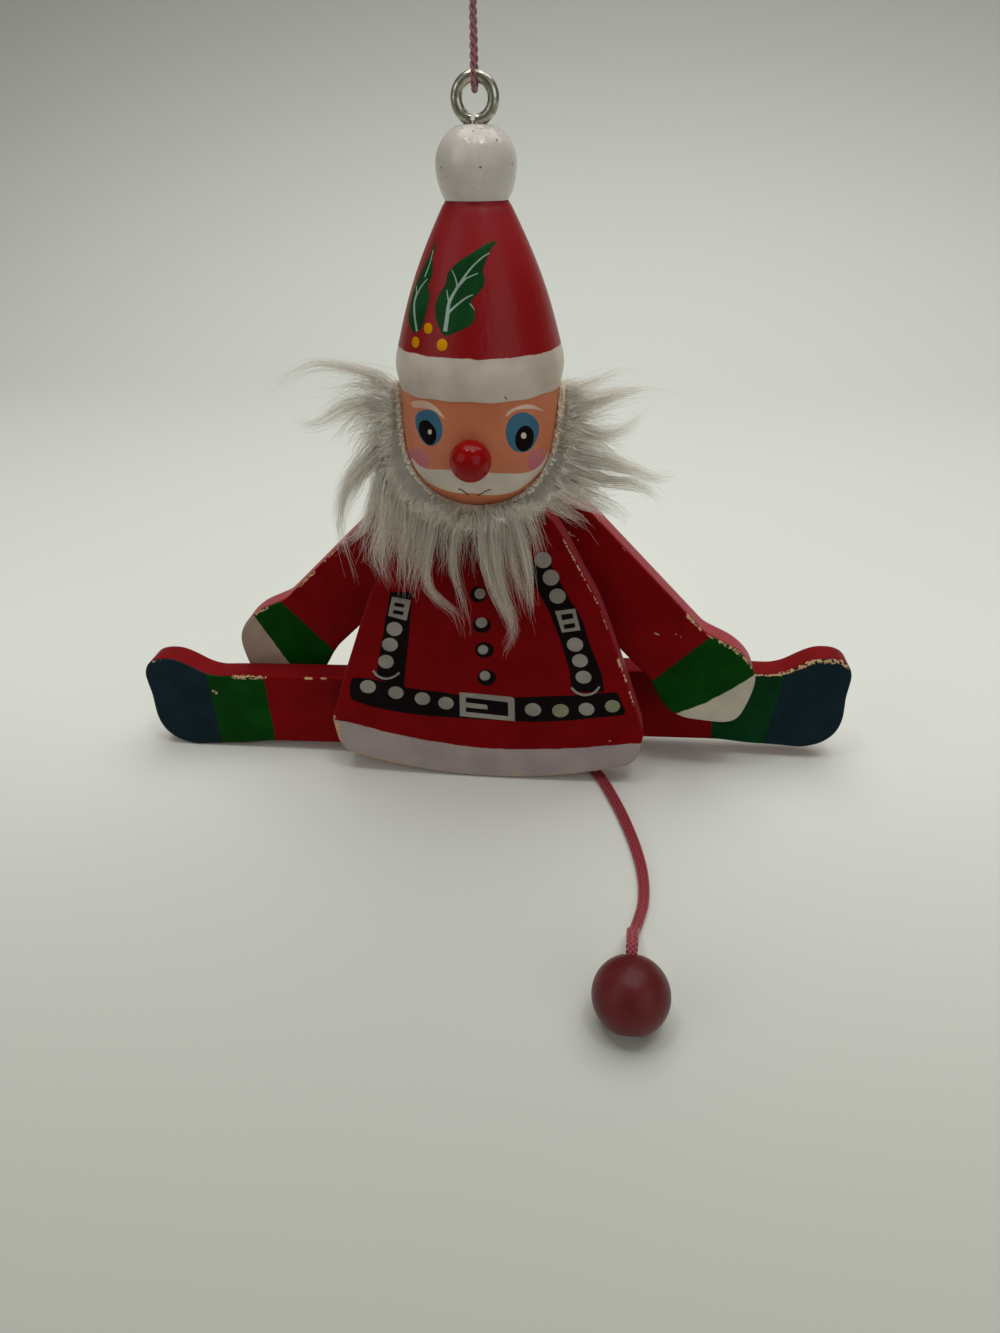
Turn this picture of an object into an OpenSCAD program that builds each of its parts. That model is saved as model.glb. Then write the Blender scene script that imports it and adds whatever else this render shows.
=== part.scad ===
// Pull-string jumping jack: a flat wooden winter figure that hangs on a cord.
// A plywood coat carries a turned head and hat, and four hinged limbs behind it.
// Pulling the bead draws the string down behind the coat and lifts arms and legs.
// Origin: the top of the hanging loop, under its knot. +Z is up, the face looks to -Y.

/* [Hanging loop and screw eye] */
// Free height of the loop above the ring
hang_drop = 26; // [15:0.1:60]
// Thickness of the hanging cord
hang_cord_d = 0.9; // [0.6:0.05:1.2]
// Outside diameter of the knot in the hanging cord
hang_knot_d = 3.4; // [2.6:0.1:5]
// Outside diameter of the screw eye's ring
ring_od = 7.2; // [6.8:0.1:7.4]
// Wire of the screw eye
wire_d = 1.7; // [1.6:0.1:1.8]
// Depth of the ring in the mouth of the pompom
ring_sink = 0.1; // [0.1:0.1:0.5]
// Threaded length of the screw eye below the pompom
thread_l = 8; // [5:0.5:12]

/* [Hat] */
// Diameter of the pompom bead
pompom_d = 12.4; // [11:0.1:16]
// Height of the pompom bead
pompom_h = 9.6; // [8:0.1:14]
// Height of the red cone
hat_h = 20.9; // [16:0.1:32]
// Diameter of the cone at its top
hat_top_d = 9.9; // [8:0.1:12]
// Diameter of the cone at its rim
hat_rim_d = 27; // [25:0.1:30]
// How far the cone's side swells beyond a straight cone
hat_swell = 0.85; // [0:0.05:1.5]
// Height of the white band
band_h = 6.2; // [4:0.1:9]
// How far the band swells beyond the rim
band_swell = 0.6; // [0:0.1:1]

/* [Head] */
// Diameter of the turned head
head_d = 27; // [24:0.1:28]
// Height of the head below the hat band
head_h = 21.2; // [18:0.1:26]
// Straight height above the rounded chin
cheek_h = 9.6; // [6:0.1:12]
// Centre of the nose below the hat band
nose_drop = 9.2; // [7:0.1:11]
// Diameter of the nose bead
nose_d = 6.8; // [5:0.1:8]
// How far the nose's centre stands in front of the face
nose_stand = 1.7; // [0.5:0.1:3]

/* [Beard] */
// Thickness of the glued plush backing
backing_t = 1.1; // [0.6:0.1:1.8]
// Width of the plush strip
backing_w = 5.5; // [4:0.1:8]
// Reach of the side tufts from the cheek
tuft_reach = 18; // [8:0.5:24]
// Drop of the bib below the chin
bib_drop = 28; // [12:0.5:34]
// Thickness of the bib in front of the coat
bib_t = 7.5; // [4:0.5:10]

/* [Plywood coat] */
// Thickness of the plywood
ply_t = 6; // [4:0.1:8]
// Height of the coat from the chin to the lowest point of its hem
coat_h = 61.1; // [56:0.1:75]
// Half width of the coat at the top of the hem band
coat_half = 32.6; // [28:0.1:40]
// Half width of the coat at the shoulders
coat_top_half = 12.5; // [11.5:0.1:16]
// Height of the hem band at the side
hem_side_h = 7.6; // [5:0.1:10]
// Rise of the hem's curve from its middle to its corner
hem_rise = 5.4; // [4:0.1:8]
// Radius of the hem's corner
hem_corner_r = 1.6; // [0.8:0.1:2.5]

/* [Arms] */
// Length of an arm from its pivot to the fingertips
arm_l = 53.4; // [46:0.5:56]
// Width of the sleeve
sleeve_w = 15; // [13:0.1:16]
// Width across the cuff
cuff_w = 19.6; // [17:0.1:20]
// Pivot to the figure's centre line
shoulder_x = 15; // [14.5:0.1:16]
// Pivot below the chin
shoulder_drop = 9; // [8.5:0.1:11]
// Rest angle of the left arm below the horizontal
arm_rest_left = 44.3; // [36:0.1:48]
// Rest angle of the right arm below the horizontal
arm_rest_right = 46; // [36:0.1:48]

/* [Legs] */
// Length of a leg from its pivot to the toe
leg_l = 64; // [54:0.5:72]
// Width of the leg
leg_w = 17; // [15:0.1:17.5]
// Height of the toe above the leg's middle line
toe_h = 13; // [10:0.1:15]
// Pivot to the figure's centre line
hip_x = 11.5; // [11:0.1:12.2]
// Pivot above the lowest point of the hem
hip_rise = 11.6; // [11.4:0.1:14]
// Rest angle of the left leg below the horizontal
leg_rest_left = 2.5; // [0:0.1:4]
// Rest angle of the right leg below the horizontal
leg_rest_right = -0.5; // [-2:0.1:4]

/* [Movement] */
// Leg's swing down from the rest pose
leg_down = 70; // [40:1:72]
// Leg's swing up from the rest pose
leg_up = 44; // [20:1:50]
// Arm's swing for each degree of the leg's
arm_share = 0.45; // [0.4:0.01:0.46]
// Leg pivot to its string tack
leg_lever = 4.5; // [4.2:0.1:5]
// Gap between neighbouring layers of wood
layer_gap = 0.4; // [0.3:0.05:0.6]

/* [Nails, spacers and tacks] */
// Shank of a pivot nail
nail_d = 1.8; // [1.4:0.1:2]
// Head of a pivot nail
nail_head_d = 4.4; // [3.6:0.1:4.6]
// Height of a nail's domed head
nail_head_h = 1.1; // [0.8:0.1:1.4]
// Depth of a nail in the coat
nail_bite = 4.4; // [3:0.1:4.8]
// Outside diameter of a spacer tube
spacer_od = 4.6; // [3.8:0.1:4.8]
// Shank of a string tack
tack_d = 1; // [0.8:0.05:1.2]
// Head of a string tack
tack_head_d = 2.2; // [1.8:0.1:2.4]
// Height of a string tack's head
tack_head_h = 0.6; // [0.4:0.1:0.8]

/* [Strings and bead] */
// Thickness of the tie loops between the tacks
tie_d = 0.9; // [0.7:0.05:1]
// Thickness of the centre string
centre_d = 1.2; // [0.9:0.05:1.4]
// Thickness of the pull cord
pull_d = 1.3; // [1:0.05:1.4]
// Diameter of the pull bead
bead_d = 12; // [11.8:0.1:13]
// Bore of the pull bead
bead_bore_d = 3; // [2.6:0.1:4]

/* [Hidden] */

// Fits
glue_gap = 0.03;
run_gap = 0.08;
soft_gap = 0.35;
over = 1;
round_fn = 64;
small_fn = 32;
cord_sides = 8;

// Heights, all below the origin
ring_z = -hang_drop - ring_od / 2;
pompom_top_z = -hang_drop - ring_od + ring_sink;
hat_top_z = pompom_top_z - pompom_h;
rim_z = hat_top_z - hat_h;
head_top_z = rim_z - band_h;
cheek_z = head_top_z - cheek_h;
nose_z = head_top_z - nose_drop;
chin_z = head_top_z - head_h;
hem_z = chin_z - coat_h;
shoulder_z = chin_z - shoulder_drop;
hip_z = hem_z + hip_rise;
floor_gap = 0.2;
floor_z = hem_z - floor_gap;

// Layers, front to back
coat_y = -ply_t / 2;
layer_1_y = ply_t / 2 + layer_gap;
layer_2_y = layer_1_y + ply_t + layer_gap;
limb_back_y = layer_2_y + ply_t;
nail_back_y = limb_back_y + layer_gap / 2 + nail_head_h;
string_gap = 0.3;
string_y = nail_back_y + string_gap + tie_d / 2;
tack_back_y = string_y + tie_d / 2 + string_gap / 2;
tack_bite = 3.5;

// String travel: the tacks swing on arcs, the string runs straight
function radians(a) = a * PI / 180;
travel_share = 0.88;
leg_mid = (leg_up - leg_down) / 2;
leg_half = (leg_up + leg_down) / 2;
travel_half = travel_share * leg_lever * radians(leg_half);
travel_mid = travel_half * leg_mid / leg_half;
arm_mid = arm_share * leg_mid;
arm_half = arm_share * leg_half;
arm_lever = travel_half / sin(arm_half);
tie_grain = 0.01;
function to_grain(v) = round(v / tie_grain) * tie_grain;
arm_tie_z = to_grain(shoulder_z + travel_mid);
leg_tie_z = to_grain(hip_z + travel_mid);
arm_tie_x = to_grain(shoulder_x - arm_lever * cos(arm_half));
leg_tie_x = to_grain(hip_x - leg_lever * cos(leg_half));
tie_play = 0.15;
arm_stray = tie_play;
leg_stray = leg_lever * (travel_share * radians(leg_half) - sin(leg_half)) + tie_play;

// Head and hat
spigot_d = 8;
spigot_l = 5.5;
chin_flat_d = 9;
tongue_w = 10;
tongue_h = 8;
peg_d = 2.4;
peg_l = 5;
pompom_flat_d = 6.4;
thread_core_d = 1.1;
thread_pitch = 0.8;
bore_mouth_d = 3.6;

// Pull bead
bead_tilt = 38;
bead_at = [28.7, -61.5];
bead_flat_d = 4;
bead_sink_l = 3.2;
bead_sink_d = 3.6;
bead_knot_d = 3;
knot_d = 2.6;
knot_l = 4.6;
centre_tail_l = 4.6;
centre_end_z = leg_tie_z - centre_tail_l;
centre_top_l = 3;

// Hanging cord's route, from the knot down the front, under the wire and up the back
hang_route = [[0, -0.5, 0.2], [0, -0.5, -2], [0, -0.5, -5], [0, -0.5, -8], [0, -0.6, -11],
    [0, -0.7, -14], [0, -0.9, -17], [0, -1.2, -20], [0, -1.4, -22.5], [0, -1.6, -25],
    [0, -1.7, -26.7], [0, -1.4, -27.8], [0, -0.8, -28.4], [0, 0, -28.6], [0, 0.8, -28.4],
    [0, 1.4, -27.8], [0, 1.7, -26.7], [0, 1.6, -25], [0, 1.4, -22.5], [0, 1.2, -20], [0, 0.9, -17],
    [0, 0.7, -14], [0, 0.6, -11], [0, 0.5, -8], [0, 0.5, -5], [0, 0.5, -2], [0, 0.5, 0.2]];
// Pull cord's route, from the centre string down to the table, under the hem and to the bead
pull_route = [[0.6, 19.1, -146.6], [0.6, 19.1, -148], [0.7, 18.4, -149.7], [1, 17, -151],
    [1.4, 14.8, -151.6], [2, 12.4, -151.6], [3, 10.3, -151.6], [5, 8.6, -151.6], [8, 7.2, -151.6],
    [11.4, 6.3, -151.6], [15, 5.6, -151.6], [18.4, 4.7, -151.6], [21.2, 2.8, -151.6],
    [23.3, 0.2, -151.6], [25, -3.2, -151.6], [26.6, -7.4, -151.6], [28.2, -12, -151.6],
    [29.7, -17.2, -151.6], [31, -22.6, -151.6], [31.9, -28, -151.6], [32.2, -33, -151.6],
    [31.9, -37.4, -151.6], [31.2, -40.4, -151.6], [30.6, -42.5, -151.6], [30.3, -43.7, -151.3],
    [30, -44.7, -150.6], [29.8, -45.7, -149.5], [29.6, -47.4, -147.7], [29.3, -49.5, -145.5],
    [29.1, -51.2, -143.6], [29, -52.2, -142.5], [28.9, -53.1, -141.9], [28.8, -54.2, -141.6],
    [28.8, -55.3, -141.7], [28.7, -56.3, -142.2], [28.7, -57.4, -143.1], [28.7, -59.2, -144.5],
    [28.7, -61.5, -146.3], [28.7, -63.9, -148.2]];

// Outlines, as shares of the piece's own sizes
coat_side_shares = [[0, 0], [0.1, 0.15], [0.25, 0.33], [0.37, 0.48], [0.6, 0.68], [0.78, 0.83],
    [1, 1]];
hand_shares = [[0.68, 0.88], [0.74, 0.99], [0.81, 1.02], [0.87, 0.95], [0.915, 0.79], [0.96, 0.45],
    [1, 0.02], [0.985, -0.26], [0.95, -0.45], [0.905, -0.66], [0.86, -0.85], [0.8, -0.95],
    [0.74, -0.93], [0.68, -0.83]];
sleeve_share = 0.62;
leg_shares = [[0.3, 1], [0.66, 1.04], [0.75, 1.03], [0.79, 1.12]];
toe_shares = [[0.83, 0.86], [0.88, 0.99], [0.94, 1], [0.98, 0.9], [1, 0.68], [0.995, 0.3],
    [1, -0.1], [0.985, -0.42], [0.94, -0.64], [0.88, -0.73]];
sole_shares = [[0.79, -1.07], [0.7, -1.05], [0.6, -0.97], [0.3, -1]];

// A smooth line through points chosen by hand
function blend_at(p, i, t) =
    let (a = p[max(i - 1, 0)], b = p[i], c = p[i + 1], d = p[min(i + 2, len(p) - 1)])
    (2 * b + (c - a) * t + (2 * a - 5 * b + 4 * c - d) * t * t
        + (3 * b - a - 3 * c + d) * t * t * t) / 2;
function smooth(p, steps) = [for (i = [0 : len(p) - 2]) for (k = [0 : steps - 1])
    blend_at(p, i, k / steps), p[len(p) - 1]];
function arc(r, from, to, count) =
    [for (k = [0 : count]) let (a = from + (to - from) * k / count) [r * cos(a), r * sin(a)]];

// A tube of cord along a route, one ring for each point
function unit(v) = v / norm(v);
function heading(p, i) = unit(p[min(i + 1, len(p) - 1)] - p[max(i - 1, 0)]);
function sides_along(p, i = 0, done = []) = i == len(p) ? done
    : let (h = heading(p, i), s = i == 0 ? cross(h, [1, 1, 0]) : done[i - 1])
    sides_along(p, i + 1, concat(done, [unit(s - (s * h) * h)]));
module cord_tube(route, d) {
    n = cord_sides;
    last = len(route) - 1;
    sides = sides_along(route);
    points = [for (i = [0 : last]) for (k = [0 : n - 1]) let (a = 360 * k / n,
        s = sides[i], u = cross(heading(route, i), s)) route[i] + (s * cos(a) + u * sin(a)) * d / 2];
    walls = [for (i = [0 : last - 1]) for (k = [0 : n - 1]) let (a = i * n + k,
        b = i * n + (k + 1) % n) each [[a, a + n, b + n], [a, b + n, b]]];
    ends = [for (k = [1 : n - 2]) each [[0, k, k + 1],
        [last * n, last * n + k + 1, last * n + k]]];
    polyhedron(points, concat(walls, ends));
}

// Plywood: an outline in X and Z, sawn through the sheet
module plate(y) translate([0, y + ply_t, 0]) rotate([90, 0, 0]) linear_extrude(ply_t)
    children();
module drill(x, z, d, y, l) translate([x, y, z]) rotate([-90, 0, 0])
    cylinder(h = l, d = d, $fn = small_fn);

// Coat
neck_half = 9;
shoulder_round = 2;
side_top_z = chin_z - shoulder_round;
hem_corner_z = hem_z + hem_rise;
hem_top_z = hem_corner_z + hem_side_h;
hem_taper = 0.9;
hem_half = coat_half - hem_taper;
hem_r = (hem_half * hem_half + hem_rise * hem_rise) / (2 * hem_rise);
hem_steps = 20;
function coat_side() = [for (s = coat_side_shares)
    [coat_top_half + (coat_half - coat_top_half) * s[1], side_top_z + (hem_top_z - side_top_z) * s[0]]];
function hem_curve() = let (a = asin((hem_half - hem_corner_r) / hem_r))
    [for (k = [0 : hem_steps]) let (t = a * (1 - k / hem_steps))
        [hem_r * sin(t), hem_z + hem_r * (1 - cos(t))]];
function coat_right() = concat([[0, chin_z], [neck_half, chin_z]], smooth(coat_side(), 3),
    [[hem_half, hem_corner_z + hem_corner_r]], hem_curve());
module coat_board() color("#8f1220") difference() {
    union() {
        plate(coat_y) polygon(coat_right());
        plate(coat_y) mirror([1, 0]) polygon(coat_right());
        translate([-tongue_w / 2, coat_y, chin_z - over]) cube([tongue_w, ply_t, tongue_h + over]);
    }
    for (s = [-1, 1]) {
        drill(s * shoulder_x, shoulder_z, nail_d + 2 * glue_gap, -coat_y - nail_bite,
            nail_bite + over);
        drill(s * hip_x, hip_z, nail_d + 2 * glue_gap, -coat_y - nail_bite, nail_bite + over);
    }
}

// Head: a turned barrel with a rounded chin
chin_steps = 14;
cheek_round = 0.15;
function head_side(g) = let (r = head_d / 2 + g, b = cheek_z - chin_z + g,
    low = asin(1) - asin(chin_flat_d / head_d))
    concat([[r - cheek_round, head_top_z], [r, (head_top_z + cheek_z) / 2]],
        [for (k = [0 : chin_steps]) let (t = low * k / chin_steps)
            [r * cos(t), cheek_z - b * sin(t) / sin(low)]]);
module head_form(g) rotate_extrude($fn = round_fn) polygon(concat([[0, head_top_z]], head_side(g),
    [[0, chin_z - g]]));
module head() color("#e8a184") difference() {
    head_form(0);
    translate([0, 0, head_top_z - spigot_l - glue_gap])
        cylinder(h = spigot_l + over, d = spigot_d + 2 * glue_gap, $fn = round_fn);
    translate([-tongue_w / 2 - glue_gap, coat_y - glue_gap, chin_z - over])
        cube([tongue_w + 2 * glue_gap, ply_t + 2 * glue_gap, tongue_h + over + glue_gap]);
    translate([0, -head_d / 2 - over, nose_z]) rotate([-90, 0, 0])
        cylinder(h = peg_l + over, d = peg_d + 2 * glue_gap, $fn = small_fn);
}
module nose() color("#b5101c") translate([0, -head_d / 2 - nose_stand, nose_z]) {
    difference() {
        sphere(d = nose_d, $fn = round_fn);
        translate([-nose_d, nose_stand - glue_gap, -nose_d]) cube(2 * nose_d);
    }
    rotate([-90, 0, 0]) cylinder(h = nose_stand + peg_l - 2 * glue_gap, d = peg_d, $fn = small_fn);
}

// Hat: a turned cone and band on one spigot
hat_steps = 10;
band_steps = 8;
function hat_side() = [for (k = [0 : hat_steps]) let (t = k / hat_steps)
    [hat_top_d / 2 + (hat_rim_d - hat_top_d) / 2 * t + hat_swell * sin(180 * t),
        hat_top_z - hat_h * t]];
function band_side() = [for (k = [1 : band_steps]) let (t = k / band_steps)
    [hat_rim_d / 2 - (hat_rim_d - head_d) / 2 * t + band_swell * sin(180 * t), rim_z - band_h * t]];
module hat() color("#9d1422") difference() {
    union() {
        rotate_extrude($fn = round_fn) polygon(concat([[0, hat_top_z]], hat_side(), band_side(),
            [[0, head_top_z]]));
        translate([0, 0, head_top_z - spigot_l])
            cylinder(h = spigot_l + over, d = spigot_d, $fn = round_fn);
    }
    translate([0, 0, hat_top_z - thread_l - wire_d])
        cylinder(h = thread_l + wire_d + over, d = wire_d + 2 * glue_gap, $fn = small_fn);
}

// Pompom: a flattened bead, fuller below
pompom_steps = 10;
function bead_half(d, flat_d, h, up) = let (low = acos(flat_d / d))
    [for (k = [0 : pompom_steps]) let (t = low * (up ? 1 - k / pompom_steps : k / pompom_steps))
        [d / 2 * cos(t), (up ? h : -h) * sin(t) / sin(low)]];
module pompom() color("#e9e6e2") difference() {
    translate([0, 0, pompom_top_z - pompom_h / 2]) rotate_extrude($fn = round_fn)
        polygon(concat([[0, pompom_h / 2]], bead_half(pompom_d, pompom_flat_d, pompom_h / 2, true),
            bead_half(pompom_d, hat_top_d, pompom_h / 2, false), [[0, -pompom_h / 2]]));
    translate([0, 0, pompom_top_z - pompom_h - over])
        cylinder(h = pompom_h + 2 * over, d = wire_d + 2 * glue_gap, $fn = small_fn);
    translate([0, 0, pompom_top_z - bore_mouth_d / 2])
        cylinder(h = bore_mouth_d / 2 + over, d1 = 0, d2 = bore_mouth_d + 2 * over, $fn = small_fn);
}

// Screw eye: a bent ring with an open butt, a shank and a thread
ring_r = (ring_od - wire_d) / 2;
eye_open = 14;
thread_n = floor(thread_l / thread_pitch);
module screw_eye() color("#b9b6ae") {
    translate([0, 0, ring_z]) rotate([90, 0, 0]) rotate([0, 0, -90])
        rotate_extrude(angle = 360 - eye_open, $fn = round_fn) translate([ring_r, 0])
            circle(d = wire_d, $fn = small_fn);
    translate([0, 0, hat_top_z])
        cylinder(h = ring_z - ring_r - hat_top_z, d = wire_d, $fn = small_fn);
    translate([0, 0, hat_top_z - thread_l])
        cylinder(h = thread_l, d = thread_core_d, $fn = small_fn);
    for (k = [0 : thread_n - 1]) translate([0, 0, hat_top_z - thread_pitch * (k + 1)])
        cylinder(h = thread_pitch, d1 = thread_core_d, d2 = wire_d, $fn = small_fn);
    translate([0, 0, hat_top_z - thread_l - wire_d])
        cylinder(h = wire_d, d1 = 0, d2 = thread_core_d, $fn = small_fn);
}

// Beard: a glued strip of plush from cheek to cheek under the chin, and its pile
strip_lean = 22;
strip_y = 4.6;
module strip_slab() translate([0, strip_y, head_top_z]) rotate([-strip_lean, 0, 0])
    translate([-head_d, -backing_w, -2 * head_h]) cube([2 * head_d, backing_w, 2 * head_h]);
module beard_backing() color("#e6dcc2") intersection() {
    difference() {
        head_form(backing_t);
        head_form(glue_gap);
        translate([-head_d, coat_y - soft_gap, chin_z - over])
            cube([2 * head_d, head_d, over + backing_t * 4]);
    }
    strip_slab();
    translate([-head_d, -head_d, chin_z - head_h])
        cube([2 * head_d, 2 * head_d, 2 * head_h - backing_t / 2]);
}
// Locks of the side tufts. Each row is a ball: shares of the tuft's reach outwards, of the
// strip's width along Y and of the head's height downwards, and its radius as a share of bib_t
upper_lock_shares = [[0, 0.2, 0.12, 0.34], [0.5, 0.1, -0.08, 0.3], [0.95, 0, 0.04, 0.12],
    [0.3, 0, 0.3, 0.34]];
side_lock_shares = [[0, 0.2, 0.12, 0.36], [0.58, 0, 0.16, 0.38], [0.84, -0.2, 0.5, 0.2],
    [0.5, -0.3, 0.62, 0.4], [0.1, -0.1, 0.62, 0.38]];
lower_lock_shares = [[0.1, -0.2, 0.45, 0.38], [0.62, -0.3, 0.5, 0.36], [0.52, -1.2, 1.42, 0.24],
    [0.38, -1.35, 1.05, 0.36]];
// Locks of the bib. Each row is a ball: shares of the head's diameter along X and of the bib's
// drop downwards, and its radius as a share of bib_t
left_lock_shares = [[-0.45, -0.06, 0.42], [-0.52, 0.4, 0.3], [-0.47, 0.6, 0.2], [-0.2, 0.66, 0.22],
    [0.1, 0, 0.42]];
right_lock_shares = [[-0.2, 0, 0.42], [0.12, 0.95, 0.16], [0.34, 0.78, 0.18], [0.44, 0.36, 0.26],
    [0.33, -0.06, 0.42]];
bib_gap_share = 0.55;
module ball(at, r) translate(at) sphere(r = r, $fn = 20);
// What the beard leaves free: the head with its strip, and all behind the coat's front
module beard_clear() {
    head_form(backing_t + glue_gap);
    translate([-coat_half, coat_y - soft_gap, hem_z])
        cube([2 * coat_half, coat_h, coat_h + soft_gap]);
}
module side_lock(s, rows) hull() for (t = rows)
    ball([s * (head_d / 2 + backing_t + tuft_reach * t[0]), backing_w * t[1],
        head_top_z - head_h * t[2] - bib_t * t[3]], bib_t * t[3]);
module tuft(s) difference() {
    union() {
        side_lock(s, upper_lock_shares);
        side_lock(s, side_lock_shares);
        side_lock(s, lower_lock_shares);
    }
    beard_clear();
}
module bib_lock(rows) hull() for (t = rows)
    ball([head_d * t[0], coat_y - soft_gap - bib_t * bib_gap_share, chin_z - bib_drop * t[1]],
        bib_t * t[2]);
module beard_left() color("#ddd6c6") tuft(-1);
module beard_right() color("#ddd6c6") tuft(1);
module beard_front() color("#ddd6c6") difference() {
    union() {
        bib_lock(left_lock_shares);
        bib_lock(right_lock_shares);
    }
    beard_clear();
}

// Arms and legs: sawn outlines laid out along the limb, turned to the rest angle about the pivot
end_steps = 24;
ear_r = 2.3;
ear_steps = 12;
ear_foot = asin(2 * ear_r / sleeve_w);
// The ear carries an arm's tack, which is level with the pivot at mid swing
function ear(a) = [for (p = arc(ear_r, a + 90, a - 90, ear_steps)) p + arm_lever * [cos(a), sin(a)]];
function shoulder(a) = concat(arc(sleeve_w / 2, 270, a + ear_foot, end_steps / 4), ear(a),
    arc(sleeve_w / 2, a - ear_foot, 90, end_steps));
module arm_outline(rest) polygon(concat(shoulder(180 - arm_mid + rest),
    [[arm_l * sleeve_share, sleeve_w / 2]],
    smooth([for (h = hand_shares) [arm_l * h[0], cuff_w / 2 * h[1]]], 3),
    [[arm_l * sleeve_share, -sleeve_w / 2]]));
module leg_outline() polygon(concat(arc(leg_w / 2, 270, 90, end_steps),
    [for (h = leg_shares) [leg_l * h[0], leg_w / 2 * h[1]]],
    smooth([for (h = toe_shares) [leg_l * h[0], toe_h * h[1]]], 2),
    [for (h = sole_shares) [leg_l * h[0], leg_w / 2 * h[1]]]));
arm_tack_at = [arm_lever * cos(arm_mid), arm_lever * sin(arm_mid)];
leg_tack_at = [leg_lever * cos(leg_mid), leg_lever * sin(leg_mid)];
module limb(s, x, z, y, rest, tack_at) color("#8f1220") difference() {
    translate([s * x, 0, z]) plate(y) mirror([s > 0 ? 0 : 1, 0]) rotate(-rest) children();
    drill(s * x, z, nail_d + 2 * run_gap, y - over, ply_t + 2 * over);
    drill(s * (x - tack_at[0]), z + tack_at[1], tack_d + 2 * glue_gap, y + ply_t - tack_bite,
        tack_bite + over);
}
module arm_left() limb(-1, shoulder_x, shoulder_z, layer_2_y, arm_rest_left, arm_tack_at)
    arm_outline(arm_rest_left);
module arm_right() limb(1, shoulder_x, shoulder_z, layer_1_y, arm_rest_right, arm_tack_at)
    arm_outline(arm_rest_right);
module leg_left() limb(-1, hip_x, hip_z, layer_1_y, leg_rest_left, leg_tack_at) leg_outline();
module leg_right() limb(1, hip_x, hip_z, layer_2_y, leg_rest_right, leg_tack_at) leg_outline();

// Nails, driven from the back into the coat; the outer layer's pass through a spacer tube
dome_steps = 6;
module dome(d, h) rotate_extrude($fn = small_fn) polygon(concat([[0, 0]],
    [for (k = [0 : dome_steps]) let (t = 90 * k / dome_steps) [d / 2 * cos(t), h * sin(t)]]));
module nail(s, x, z, limb_y) color("#b7b2a6") translate([s * x, limb_y + ply_t + layer_gap / 2, z])
    rotate([-90, 0, 0]) {
        dome(nail_head_d, nail_head_h);
        translate([0, 0, coat_y - limb_y - layer_gap / 2 - nail_bite])
            cylinder(h = limb_y - coat_y + layer_gap / 2 + nail_bite, d = nail_d, $fn = small_fn);
    }
module shoulder_nail_left() nail(-1, shoulder_x, shoulder_z, layer_2_y);
module shoulder_nail_right() nail(1, shoulder_x, shoulder_z, layer_1_y);
module hip_nail_left() nail(-1, hip_x, hip_z, layer_1_y);
module hip_nail_right() nail(1, hip_x, hip_z, layer_2_y);
module spacer(x, z) color("#c9a877") difference() {
    drill(x, z, spacer_od, -coat_y + glue_gap, layer_2_y + coat_y - layer_gap / 2 - glue_gap);
    drill(x, z, nail_d + 2 * glue_gap, -coat_y - over, layer_2_y + 2 * over);
}
module shoulder_spacer() spacer(-shoulder_x, shoulder_z);
module hip_spacer() spacer(hip_x, hip_z);

// String tacks, driven into the inner end of each limb
module tack(s, x, z, limb_y, at) color("#b7b2a6") translate([s * (x - at[0]), tack_back_y, z + at[1]])
    rotate([-90, 0, 0]) {
        dome(tack_head_d, tack_head_h);
        translate([0, 0, limb_y + ply_t - tack_bite + glue_gap - tack_back_y])
            cylinder(h = tack_back_y - limb_y - ply_t + tack_bite - glue_gap, d = tack_d,
                $fn = small_fn);
    }
module arm_tack_left() tack(-1, shoulder_x, shoulder_z, layer_2_y, arm_tack_at);
module arm_tack_right() tack(1, shoulder_x, shoulder_z, layer_1_y, arm_tack_at);
module leg_tack_left() tack(-1, hip_x, hip_z, layer_1_y, leg_tack_at);
module leg_tack_right() tack(1, hip_x, hip_z, layer_2_y, leg_tack_at);

// Tie loops, each round a pair of tacks, and the string that draws them
function tie_r(stray) = tack_d / 2 + stray + tie_d / 2;
module tie_loop(x, z, stray) color("#d9d2bf") translate([0, string_y, z]) rotate([90, 0, 0]) {
    for (s = [0, 1]) rotate([0, 0, 180 * s]) {
        translate([x, 0, 0]) rotate([0, 0, -90]) rotate_extrude(angle = 180, $fn = small_fn)
            translate([tie_r(stray), 0]) circle(d = tie_d, $fn = small_fn);
        translate([-x, tie_r(stray), 0]) rotate([0, 90, 0]) cylinder(h = 2 * x, d = tie_d, $fn = small_fn);
    }
}
module arm_tie() tie_loop(arm_tie_x, arm_tie_z, arm_stray);
module leg_tie() tie_loop(leg_tie_x, leg_tie_z, leg_stray);
module knot(z) translate([0, 0, z]) rotate_extrude($fn = small_fn) polygon([[0, -knot_l / 2],
    [knot_d / 4, -knot_l / 2], [knot_d / 2, -knot_l / 3], [knot_d / 2, knot_l / 3],
    [knot_d / 4, knot_l / 2], [0, knot_l / 2]]);
module tie_bores(z, stray) for (s = [-1, 1]) translate([-knot_d, 0, z + s * tie_r(stray)])
    rotate([0, 90, 0]) cylinder(h = 2 * knot_d, d = tie_d + 2 * glue_gap, $fn = small_fn);
module centre_string() color("#d9d2bf") translate([0, string_y, 0]) difference() {
    union() {
        translate([0, 0, centre_end_z])
            cylinder(h = arm_tie_z - centre_end_z + centre_top_l, d = centre_d, $fn = small_fn);
        knot(arm_tie_z);
        knot(leg_tie_z);
    }
    tie_bores(arm_tie_z, arm_stray);
    tie_bores(leg_tie_z, leg_stray);
}

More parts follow.
